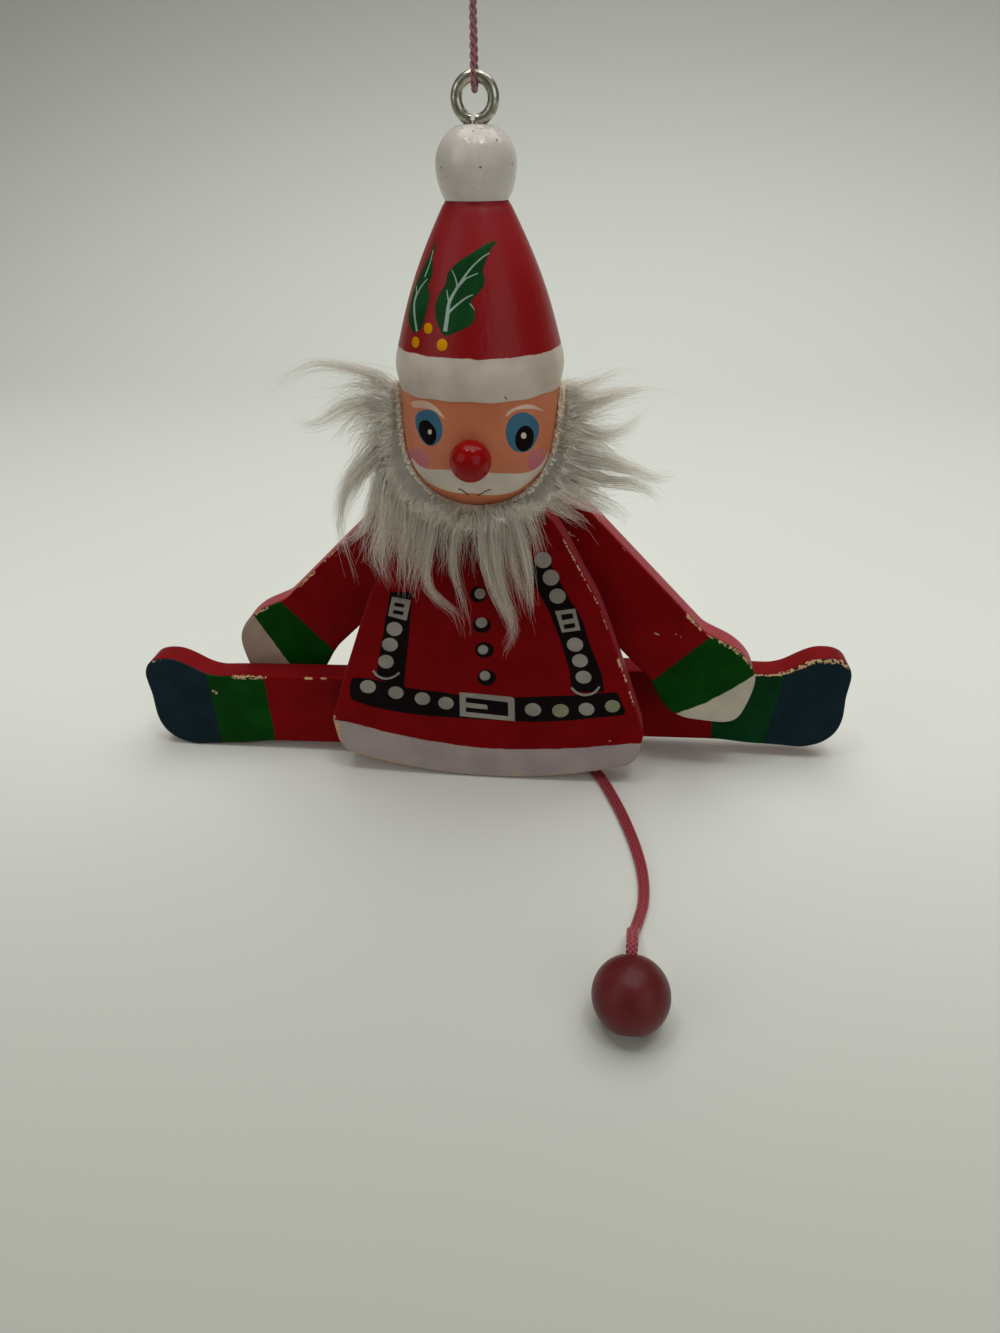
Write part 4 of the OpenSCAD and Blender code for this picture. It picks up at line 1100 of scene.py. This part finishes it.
# %% [markdown]
# ## Plush beard
# The beard is long-haired acrylic plush: a strip of it is glued round the jaw and the pile
# falls free. Old pile does not hang evenly. It gathers into small wisps that thin out to
# their tips, wave a little and cross each other, so that is how it is drawn. A lock is a
# trail of photograph pixels at a chosen depth. Each wisp of it has its own root on the strip
# and its own way beside the trail. Single hairs stray further, and short ones fill the roots
# like felt. Real pile is a few hundredths of a millimetre thick, and these hairs are a
# little thicker, to show in the render.

# %% Plush materials
def plush(name):
    """Acrylic pile, cream with greyer hairs in it, soft, and light comes through it."""
    made, tree, _ = material(name)
    base = blend(tree, attribute(tree, "tint"), colour("#fffdf2"), colour("#e8dac0"))
    shade(tree, base, 0.8, Specular_IOR_Level=0.1, Sheen_Weight=1.0, Sheen_Roughness=0.6,
          Sheen_Tint=colour("#fff0d2"), Subsurface_Weight=0.8,
          Subsurface_Radius=(1.0, 0.92, 0.75), Subsurface_Scale=0.8 * MM)
    return made


def backing_cloth(name):
    """The knitted back of the plush, stiff with old glue."""
    made, tree, place = material(name)
    loops = add(tree, "ShaderNodeTexVoronoi", {"Vector": place, "Scale": 1.6})
    base = blend(tree, noise(tree, place, 3.0), colour("#efe4cc"), colour("#dcc9a6"))
    shade(tree, base, 0.8, loops.outputs["Distance"], 0.15, Specular_IOR_Level=0.2)
    return made


pile = plush("acrylic_plush_pile")
knit = backing_cloth("knitted_plush_backing")

# %% Where the pile grows
STRIP_LEAN, STRIP_FRONT, STRIP_THICK = math.radians(22), -1.33, 1.1
STRIP_BACK = Vector((0, math.cos(STRIP_LEAN), -math.sin(STRIP_LEAN)))


def head_radius(z):
    """The head's radius at a height."""
    down = max(0.0, CHEEK - z) / JAW_HIGH
    return HEAD_R * math.sqrt(max(0.0, 1 - down * down))


def strip_edge(z):
    """Y of the strip's front edge at a height: it leans forward on its way down."""
    return STRIP_FRONT - math.tan(STRIP_LEAN) * (HEAD_TOP - z)


def jaw_edge():
    """The front edge of the plush strip on the head, from temple to temple under the chin."""
    right, z = [], HEAD_TOP - 0.2
    while True:
        y = strip_edge(z)
        if head_radius(z) <= -y:
            break
        right.append(Vector((math.sqrt(head_radius(z) ** 2 - y * y), y, z)))
        z -= 0.2
    return [Vector((-p.x, p.y, p.z)) for p in right] + [Vector((0, y, z))] + right[::-1]


JAW = jaw_edge()
JAW_RUN = [0.0]
for a, b in zip(JAW, JAW[1:]):
    JAW_RUN.append(JAW_RUN[-1] + (b - a).length)
print("jaw edge mm:", round(JAW_RUN[-1], 1))


def off_head(point, out):
    """A point moved onto the head's surface, out millimetres off it, with the way outwards."""
    middle = Vector((0, 0, max(point.z, CHEEK)))
    way = point - middle
    flat = math.hypot(way.x, way.y) / (HEAD_R + out)
    way /= math.hypot(flat, way.z / (JAW_HIGH + out))
    return middle + way, way.normalized()


def root_at(share, back):
    """A root on the strip: share runs from the left temple to the right, back goes behind its edge."""
    target = min(1.0, max(0.0, share)) * JAW_RUN[-1]
    k = next(i for i in range(1, len(JAW)) if JAW_RUN[i] >= target or i == len(JAW) - 1)
    t = (target - JAW_RUN[k - 1]) / (JAW_RUN[k] - JAW_RUN[k - 1])
    return off_head(JAW[k - 1].lerp(JAW[k], t) + STRIP_BACK * back, STRIP_THICK)


# %% Wisps and hairs
hair_dice = random.Random(7)
HAIR = 0.034
WISP = 7
IN_WISPS, STRAYING, FELTED = 1.4, 0.6, 0.85
FELT_REACH = (0.16, 0.45)
ROOT_STRAY, TINT_STRAY = 0.018, 0.16
WAVE_MM, STANDS_OUT = (8, 17), (0.8, 2.0)
CHIN_SHARE, CHIN_REACH, CHIN_PUFF = 0.48, 0.24, Vector((0, -1.2, 0))
COAT_HALF, COAT_SKIN, COAT_BACK = 34, -3.6, 16
Lock = namedtuple("Lock", "share backs trail hairs stray tip_stray wave grey least")


def wander(size):
    """A random step in space."""
    return Vector((hair_dice.gauss(0, size), hair_dice.gauss(0, size), hair_dice.gauss(0, size)))


def clear_of_wood(point):
    """A hair's point kept off the face, and pushed out of the head and of the coat."""
    if point.z > CHIN + 3 and point.y < strip_edge(point.z) and abs(point.x) < head_radius(point.z) + 1.3:
        point = Vector((point.x, strip_edge(point.z), point.z))
    if point.z > CHIN:
        skin, _ = off_head(point, 0.3)
        middle = Vector((0, 0, max(point.z, CHEEK)))
        if (point - middle).length < (skin - middle).length:
            point = skin
    if point.z < CHIN + 2 and abs(point.x) < COAT_HALF and COAT_SKIN < point.y < COAT_BACK:
        point = Vector((point.x, COAT_SKIN, point.z))
    return point


def along_line(line, t):
    """The point at a share t of a line's points."""
    where = t * (len(line) - 1)
    i = min(int(where), len(line) - 2)
    return line[i].lerp(line[i + 1], where - i)


def wisp(lock, hairs, loose, thin=1.0, reaches=None, spans=8):
    """Hairs that leave the strip together and go their own way beside a lock's trail."""
    root, out = root_at(lock.share + hair_dice.gauss(0, ROOT_STRAY), hair_dice.uniform(*lock.backs))
    beside, end = wander(lock.stray * loose), wander(lock.tip_stray * loose)
    reach = hair_dice.uniform(*(reaches or (lock.least, 1.0)))
    pitch, phase = hair_dice.uniform(*WAVE_MM), hair_dice.uniform(0, 6.28)
    curl = lock.wave * (0.75 if hairs > 1 else 1.25)
    sway, bob = wander(0.6).normalized(), wander(0.6).normalized()
    tint = hair_dice.gauss(lock.grey, TINT_STRAY)
    # Under the chin the pile stands forward before it falls.
    puff = CHIN_PUFF * max(0.0, 1 - abs(lock.share - CHIN_SHARE) / CHIN_REACH)
    middle = smooth_line([root, root + (out + puff) * hair_dice.uniform(*STANDS_OUT)] + lock.trail, 3)
    run = run_length(middle) * reach
    rows = []
    for _ in range(hairs):
        own, apart = wander(0.5), wander(0.55)
        own_reach, own_phase = hair_dice.uniform(0.6, 1.0), hair_dice.uniform(0, 6.28)
        hair_grey = min(1.0, max(0.0, tint + hair_dice.gauss(0, TINT_STRAY)))
        line = []
        for k in range(spans + 1):
            # Along the lock's trail, then off beside it, waving, and apart from its own wisp
            t = k / spans * own_reach
            point = along_line(middle, t * reach)
            point += beside * (min(1.0, 2.5 * t) * (1 - t) * 1.5) + end * t * t
            wave = 2 * math.pi * t * run / pitch + phase
            point += (sway * math.sin(wave) + bob * 0.7 * math.cos(wave)) * (curl * min(1.0, 1.6 * t))
            point += own * (1 - 0.6 * t) + apart * t * t
            point += bob * (0.22 * math.sin(wave * 1.7 + own_phase) * t)
            # The tint grows towards the tips, so each hair is paler at its root: painted light that lifts the shade
            # among the roots.
            line.append((clear_of_wood(point), thin * (1 - 0.7 * (k / spans) ** 3), hair_grey * (0.55 + 0.2 * t)))
        rows.append(line)
    return rows


def pile_lines(locks):
    """The wisps of all locks, with single looser hairs round each."""
    lines = []
    for lock in locks:
        for _ in range(round(IN_WISPS * lock.hairs / WISP)):
            lines += wisp(lock, WISP, 1.0)
        for _ in range(round(STRAYING * lock.hairs)):
            lines += wisp(lock, 1, 1.25, 0.8)
    return lines


def wool_lines(locks):
    """The short dense hairs at the roots, which make the pile look felted there."""
    lines = []
    for lock in locks:
        for _ in range(round(FELTED * lock.hairs)):
            lines += wisp(lock, 1, 1.2, 0.9, FELT_REACH, 5)
    return lines


def in_space(locks):
    """The locks with their trails in millimetres."""
    return [Lock(share, backs, [at_depth(*p) for p in pixels], *rest) for share, backs, pixels, *rest in locks]


# %% [markdown]
# A lock is written as its share along the jaw, how far behind the strip's edge its roots
# lie, its trail, the number of hairs that wisps, stray hairs and felt take their shares of,
# how far they stray at mid length and at the tip, how much they wave, how grey they are,
# and how short the shortest are.

# %% Locks of the beard
SIDE, LOW_SIDE, BIB = (0.0, 4.2), (0.0, 3.8), (0.0, 3.0)
left_locks = [
    (0.02, SIDE, [(380, 376, -1), (350, 366, -2), (320, 362, -3), (296, 371, -4), (278, 384, -4), (265, 397, -4),
                  (259, 407, -4)], 48, 0.7, 0.3, 0.3, 0.3, 0.5),
    (0.03, SIDE, [(375, 385, 0), (345, 378, -1), (318, 382, -2), (296, 395, -3)], 48, 1.7, 1.6, 0.5, 0.2, 0.6),
    (0.05, SIDE, [(380, 395, 0), (360, 392, -1), (342, 402, -2), (328, 414, -3)], 96, 1.5, 1.4, 0.8, 0.2, 0.5),
    (0.06, SIDE, [(378, 402, -1), (352, 404, -2), (334, 414, -3), (320, 423, -4), (306, 427, -4), (300, 420, -4),
                  (297, 411, -4)], 60, 0.8, 0.25, 0.3, 0.4, 0.6),
    (0.08, SIDE, [(378, 410, -1), (358, 418, -2), (344, 432, -3), (338, 446, -4)], 132, 1.5, 1.5, 0.9, 0.2, 0.5),
    (0.11, SIDE, [(380, 422, -1), (364, 436, -2), (354, 452, -4), (350, 468, -5)], 132, 1.5, 1.4, 0.9, 0.2, 0.5),
    (0.14, SIDE, [(382, 440, -2), (362, 462, -4), (346, 482, -5), (339, 506, -5), (340, 532, -6), (348, 560, -6),
                  (357, 592, -6)], 132, 1.1, 0.4, 0.5, 0.25, 0.5),
    (0.16, SIDE, [(384, 448, -2), (366, 470, -4), (352, 492, -5), (344, 516, -5), (342, 540, -6)],
     132, 1.3, 0.8, 0.6, 0.2, 0.5),
    (0.19, SIDE, [(388, 460, -3), (378, 485, -5), (370, 510, -5), (358, 532, -6), (344, 543, -6), (330, 548, -6)],
     132, 1.0, 0.4, 0.5, 0.2, 0.5),
    (0.21, LOW_SIDE, [(391, 468, -4), (382, 494, -5), (374, 520, -6), (366, 545, -6), (362, 565, -6)],
     120, 1.2, 0.8, 0.6, 0.25, 0.5),
    (0.24, LOW_SIDE, [(397, 478, -5), (390, 505, -6), (382, 532, -6), (377, 556, -6), (383, 576, -6),
                      (392, 597, -5.5)], 156, 1.1, 0.4, 0.5, 0.35, 0.5)]
front_locks = [
    (0.27, BIB, [(404, 490, -6), (396, 515, -7), (388, 545, -7), (386, 570, -6.5), (394, 596, -6)],
     156, 1.1, 0.5, 0.5, 0.45, 0.5),
    (0.30, BIB, [(414, 496, -7), (408, 525, -7.5), (402, 552, -7), (400, 578, -6.5), (404, 600, -6)],
     168, 1.1, 0.6, 0.5, 0.45, 0.5),
    (0.33, BIB, [(424, 500, -8), (420, 530, -8), (415, 558, -7.5), (412, 582, -7), (413, 606, -6)],
     168, 1.1, 0.6, 0.5, 0.45, 0.5),
    (0.36, BIB, [(433, 505, -8.5), (430, 532, -8), (424, 556, -7.5), (418, 578, -7), (420, 598, -6)],
     132, 1.1, 0.7, 0.5, 0.5, 0.45),
    (0.37, BIB, [(436, 505, -9), (432, 535, -8.5), (426, 562, -8), (427, 585, -7), (438, 600, -6), (453, 612, -5.5),
                 (462, 630, -5), (461, 651, -4.8)], 60, 0.5, 0.25, 0.25, 0.35, 0.6),
    (0.40, BIB, [(446, 508, -9), (443, 538, -8.5), (441, 565, -7.5), (437, 588, -6.5)], 96, 1.1, 0.9, 0.5, 0.5, 0.4),
    (0.43, BIB, [(458, 510, -9), (455, 540, -8.5), (454, 568, -7.5), (461, 596, -6), (468, 622, -5.3),
                 (466, 655, -4.8)], 60, 0.5, 0.25, 0.25, 0.35, 0.6),
    (0.45, BIB, [(462, 512, -9), (462, 540, -8.5), (462, 562, -7.5), (458, 582, -7)], 72, 1.3, 1.1, 0.5, 0.5, 0.4),
    (0.49, BIB, [(474, 514, -9.3), (475, 540, -8.5), (474, 562, -7.5), (478, 588, -6.5)],
     84, 1.3, 1.1, 0.5, 0.5, 0.4),
    (0.54, BIB, [(490, 513, -9.3), (489, 545, -9), (493, 575, -8), (503, 603, -7), (514, 626, -6.3), (509, 646, -6),
                 (502, 658, -5.6)], 192, 0.9, 0.35, 0.35, 0.35, 0.5),
    (0.56, BIB, [(494, 512, -9.3), (496, 545, -9), (500, 575, -8), (508, 603, -7), (515, 625, -6.3),
                 (512, 645, -6)], 132, 1.0, 0.5, 0.4, 0.4, 0.45),
    (0.60, BIB, [(505, 510, -9), (510, 542, -8.8), (517, 575, -8), (524, 603, -7), (527, 618, -6.5)],
     168, 1.0, 0.5, 0.4, 0.4, 0.45),
    (0.63, BIB, [(513, 506, -8.8), (521, 538, -8.3), (528, 570, -7.5), (531, 600, -6.8), (532, 616, -6.3),
                 (537, 635, -6)], 144, 0.8, 0.3, 0.35, 0.4, 0.45),
    (0.66, BIB, [(522, 501, -8.3), (532, 526, -8), (539, 548, -7.5), (543, 564, -7)], 96, 1.0, 0.9, 0.5, 0.45, 0.4),
    (0.69, BIB, [(531, 495, -7.8), (541, 512, -7.5), (547, 528, -7)], 84, 1.0, 0.9, 0.5, 0.4, 0.4)]
FREE_EDGE = (1.3, 4.4)
right_locks = [
    (0.72, LOW_SIDE, [(538, 488, -7), (552, 502, -7), (566, 512, -7), (582, 522, -6.5), (594, 538, -6.5)],
     96, 0.9, 0.4, 0.5, 0.4, 0.4),
    (0.745, LOW_SIDE, [(545, 480, -6.5), (562, 490, -6.5), (580, 497, -6), (598, 504, -6), (614, 510, -6),
                       (626, 520, -6), (616, 526, -6)], 108, 1.0, 0.5, 0.8, 0.35, 0.5),
    (0.77, SIDE, [(551, 470, -6), (572, 482, -6), (592, 492, -6), (608, 500, -6), (618, 508, -6)],
     144, 1.4, 1.1, 0.7, 0.3, 0.5),
    (0.79, SIDE, [(556, 462, -5), (580, 473, -5), (605, 481, -5), (628, 482, -5), (648, 489, -5), (660, 498, -5),
                  (670, 509, -5)], 144, 1.1, 0.25, 0.4, 0.3, 0.5),
    (0.82, SIDE, [(560, 450, -4), (585, 459, -4.5), (610, 463, -5), (635, 469, -5), (655, 478, -5), (668, 477, -5),
                  (681, 474, -5)], 144, 1.1, 0.25, 0.4, 0.3, 0.5),
    (0.85, FREE_EDGE, [(562, 438, -3), (585, 444, -4), (606, 450, -5), (622, 460, -5), (632, 472, -5)],
     192, 1.6, 1.0, 0.6, 0.25, 0.5),
    (0.88, FREE_EDGE, [(563, 428, -2), (588, 432, -3), (610, 434, -4), (630, 427, -4), (645, 412, -4),
                       (658, 396, -4)], 144, 1.1, 0.25, 0.4, 0.25, 0.5),
    (0.91, FREE_EDGE, [(564, 415, -1), (590, 413, -2), (612, 408, -3), (632, 402, -3)],
     144, 1.5, 1.5, 0.8, 0.2, 0.5),
    (0.93, FREE_EDGE, [(564, 408, -1), (588, 403, -2), (612, 395, -3), (635, 389, -3), (658, 387, -4),
                       (682, 395, -4)], 84, 0.8, 0.25, 0.4, 0.3, 0.5),
    (0.95, FREE_EDGE, [(563, 402, 0), (586, 394, -1), (608, 387, -2), (628, 382, -2)], 84, 1.4, 1.4, 0.6, 0.2, 0.5),
    (0.97, FREE_EDGE, [(562, 396, 0), (585, 386, -1), (607, 377, -2), (628, 370, -2), (646, 371, -3)],
     48, 1.2, 1.0, 0.5, 0.2, 0.5)]
left_locks, front_locks, right_locks = in_space(left_locks), in_space(front_locks), in_space(right_locks)
for side, locks in (("left", left_locks), ("right", right_locks), ("front", front_locks)):
    threads("beard_pile_" + side, pile_lines(locks), HAIR, 3, pile, "figure", ["beard_" + side])
threads("beard_wool", wool_lines(left_locks + front_locks + right_locks), HAIR, 3, pile, "figure")

# %% [markdown]
# The strip that the pile grows from shows as a narrow cut edge between face and fur. It is
# taken from the CAD node, made finer, and roughened as a cut knit is. Short ends of pile
# stand along the cut like small teeth.

# %% Plush backing
strip_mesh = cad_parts["beard_backing"].data.copy()
strip = bpy.data.objects.new("plush_backing_strip", strip_mesh)
bpy.context.scene.collection.objects.link(strip)
shape = bmesh.new()
shape.from_mesh(strip_mesh)
bmesh.ops.remove_doubles(shape, verts=shape.verts, dist=1e-6)
shape.to_mesh(strip_mesh)
shape.free()
remesh = strip.modifiers.new("remesh", "REMESH")
remesh.mode = "VOXEL"
remesh.voxel_size = 0.28 * MM
fine_strip = bpy.data.meshes.new_from_object(strip.evaluated_get(bpy.context.evaluated_depsgraph_get()))
strip.modifiers.clear()
strip.data = fine_strip
strip_dice = random.Random(11)
ROUGH = 0.12
for vertex in fine_strip.vertices:
    vertex.co += vertex.normal * strip_dice.uniform(-ROUGH, ROUGH) * MM
fine_strip.shade_smooth()
fine_strip.materials.clear()
fine_strip.materials.append(knit)
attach(strip, "figure")
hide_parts("beard_backing")

TOOTH_GAP = 0.32
teeth = []
for k in range(int(JAW_RUN[-1] / TOOTH_GAP)):
    base, out = root_at(k * TOOTH_GAP / JAW_RUN[-1], 0.15)
    base = base - out * strip_dice.uniform(0.3, 1.0)
    ahead = (STRIP_BACK * -1.0 + out * strip_dice.uniform(-0.2, 0.9) + wander(0.35)).normalized()
    length = strip_dice.uniform(0.25, 1.0) if k % 3 else strip_dice.uniform(0.8, 1.5)
    teeth.append([(base, 1.0, 0.1), (base + ahead * length * 0.6, 0.8, 0.1), (base + ahead * length, 0.35, 0.0)])
threads("plush_cut_edge", teeth, 0.13, 5, pile, "figure")

# %% [markdown]
# ## Metal and string
# The screw eye is bent from nickel-plated steel wire, and the nails and tacks are steel.
# Their CAD shapes are right as they are, so they only get a metal with tarnish in it. The
# strings behind the coat are plain cotton twine, laid from two threads.

# %% Metal and spacers
def nickel(name, clean, dull, roughness):
    """Plated steel, with duller blotches where it was handled."""
    made, tree, place = material(name)
    tarnish = step(tree, noise(tree, place, 1.2, 4.0), 0.35, 0.7)
    base = blend(tree, tarnish, colour(clean), colour(dull))
    rough = calculated(tree, "MULTIPLY_ADD", tarnish, 0.15, roughness)
    shade(tree, base, rough, noise(tree, place, 0.3), 0.01, Metallic=1.0)
    return made


eye_metal = nickel("nickel_plated_steel", "#cfccbd", "#8f8b7a", 0.2)
nail_metal = nickel("steel_nail", "#9a978f", "#6b6861", 0.35)


def dress(node, paint):
    """A CAD node keeps its mesh and gets a material in every slot."""
    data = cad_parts[node].data
    if not data.materials:
        data.materials.append(paint)
    for slot_at in range(len(data.materials)):
        data.materials[slot_at] = paint


dress("screw_eye", eye_metal)
for kind in ("shoulder_nail", "hip_nail", "arm_tack", "leg_tack"):
    for side in ("_left", "_right"):
        dress(kind + side, nail_metal)
for node in ("shoulder_spacer", "hip_spacer"):
    dress(node, plywood_back)

# %% Strings behind the coat
twine_cotton = silk("cotton_twine", "#cfc6b1", "#b7ab93")
STRING_Y, ARM_TIE_Z, LEG_TIE_Z = 17.85, -100.9, -141.4


def tie_route(half, z, swing):
    """A flat ring round a pair of tacks."""
    route = []
    for k in range(49):
        a = 2 * math.pi * k / 48
        shift = half if math.cos(a) >= 0 else -half
        route.append(Vector((shift + swing * math.cos(a), STRING_Y, z + swing * math.sin(a))))
    return route


def tie(name, half, z, swing):
    """A tie of two-ply twine from tack to tack."""
    lines = plait(tie_route(half, z, swing), 1.6, 0.216, 0, (0, 1, 0), count=2, flat=False)
    threads(name + "_twine", lines, 0.24, 6, twine_cotton, "pull_run", [name])


def wound(z):
    """Twine wound into a small ball where a tie is bound to the centre string."""
    line = []
    for k in range(1, 50):
        turned_by, down = 0.3 * k * 1.2, 0.3 * k * 0.21
        spot = (math.cos(turned_by) * math.sin(down), STRING_Y + 0.75 * math.sin(turned_by) * math.sin(down),
                z + 1.9 * math.cos(down))
        line.append((spot, 1.0, 0.0))
    return line


tie("arm_tie", 6.8, ARM_TIE_Z, 1.1)
tie("leg_tie", 9.05, LEG_TIE_Z, 1.25)
centre_route = [Vector((0, STRING_Y, -97.9 - 0.4 * k)) for k in range(121)]
centre_lines = plait(centre_route, 1.8, 0.28, 0, (0, 1, 0), count=2, flat=False)
centre_lines += [wound(ARM_TIE_Z), wound(LEG_TIE_Z)]
threads("centre_twine", centre_lines, 0.31, 6, twine_cotton, "pull_run", ["centre_string"])

# %% [markdown]
# ## Floor and light
# The toy stands on a pale sheet that curves up behind it. A large soft lamp hangs above, as a
# window or ceiling would light it, so fronts are darker than tops, and two weaker ones fill
# in from the front and the left. Two small ones make the glints on nose, pompom and bead.

# %% Floor
def paper(name):
    """Pale matt paper, with painted shade that darkens it up the wall and towards the front."""
    made, tree, place = material(name)
    parts = add(tree, "ShaderNodeSeparateXYZ", {"Vector": place})
    # Painted shade: the paper darkens towards the front and up the wall, as the light falls off there.
    painted_shade_up = step(tree, parts.outputs["Z"], -150.0, 160.0)
    painted_shade_near = step(tree, parts.outputs["Y"], 60.0, -160.0)
    base = blend(tree, painted_shade_near, colour("#eff1e8"), colour("#b6b7ac"))
    base = blend(tree, painted_shade_up, base, colour("#aaaba6"))
    shade(tree, base, 0.9, Specular_IOR_Level=0.1)
    return made


BEND_Y, BEND_R, SHEET_HALF = 330, 220, 1200
profile = [(-700, FLOOR), (BEND_Y, FLOOR)]
for k in range(1, 17):
    a = math.pi / 2 * k / 16
    profile.append((BEND_Y + BEND_R * math.sin(a), FLOOR + BEND_R * (1 - math.cos(a))))
profile.append((BEND_Y + BEND_R, 700))
sheet_points = [(x, y, z) for y, z in profile for x in (-SHEET_HALF, SHEET_HALF)]
sheet_faces = [(2 * k, 2 * k + 1, 2 * k + 3, 2 * k + 2) for k in range(len(profile) - 1)]
piece("paper_sweep", sheet_points, sheet_faces, [paper("paper_pale")], None)


# %% Light
def lamp(name, place, aim, size, watts):
    """A square soft lamp that faces aim."""
    data = bpy.data.lights.new(name, "AREA")
    data.size = size * MM
    data.energy = watts
    made = bpy.data.objects.new(name, data)
    made.location = Vector(place) * MM
    made.rotation_euler = (Vector(aim) - Vector(place)).to_track_quat("-Z", "Y").to_euler()
    bpy.context.scene.collection.objects.link(made)


lamp("lamp_above", (60, 120, 520), (0, 0, -110), 700, 3.1)
lamp("lamp_left", (-420, -300, 160), (0, 0, -110), 400, 0.4)
lamp("spot_left", (-120, -110, 380), (0, 0, -90), 50, 0.16)
lamp("spot_right", (100, -120, 380), (0, 0, -90), 50, 0.16)
lamp("lamp_front", (400, -440, 130), (0, 0, -110), 500, 0.6)
world = bpy.data.worlds.new("room")
world.use_nodes = True
backdrop = world.node_tree.nodes["Background"]
backdrop.inputs["Color"].default_value = colour("#dfe1dc")
backdrop.inputs["Strength"].default_value = 0.16
bpy.context.scene.world = world
bpy.context.scene.view_settings.view_transform = "Standard"
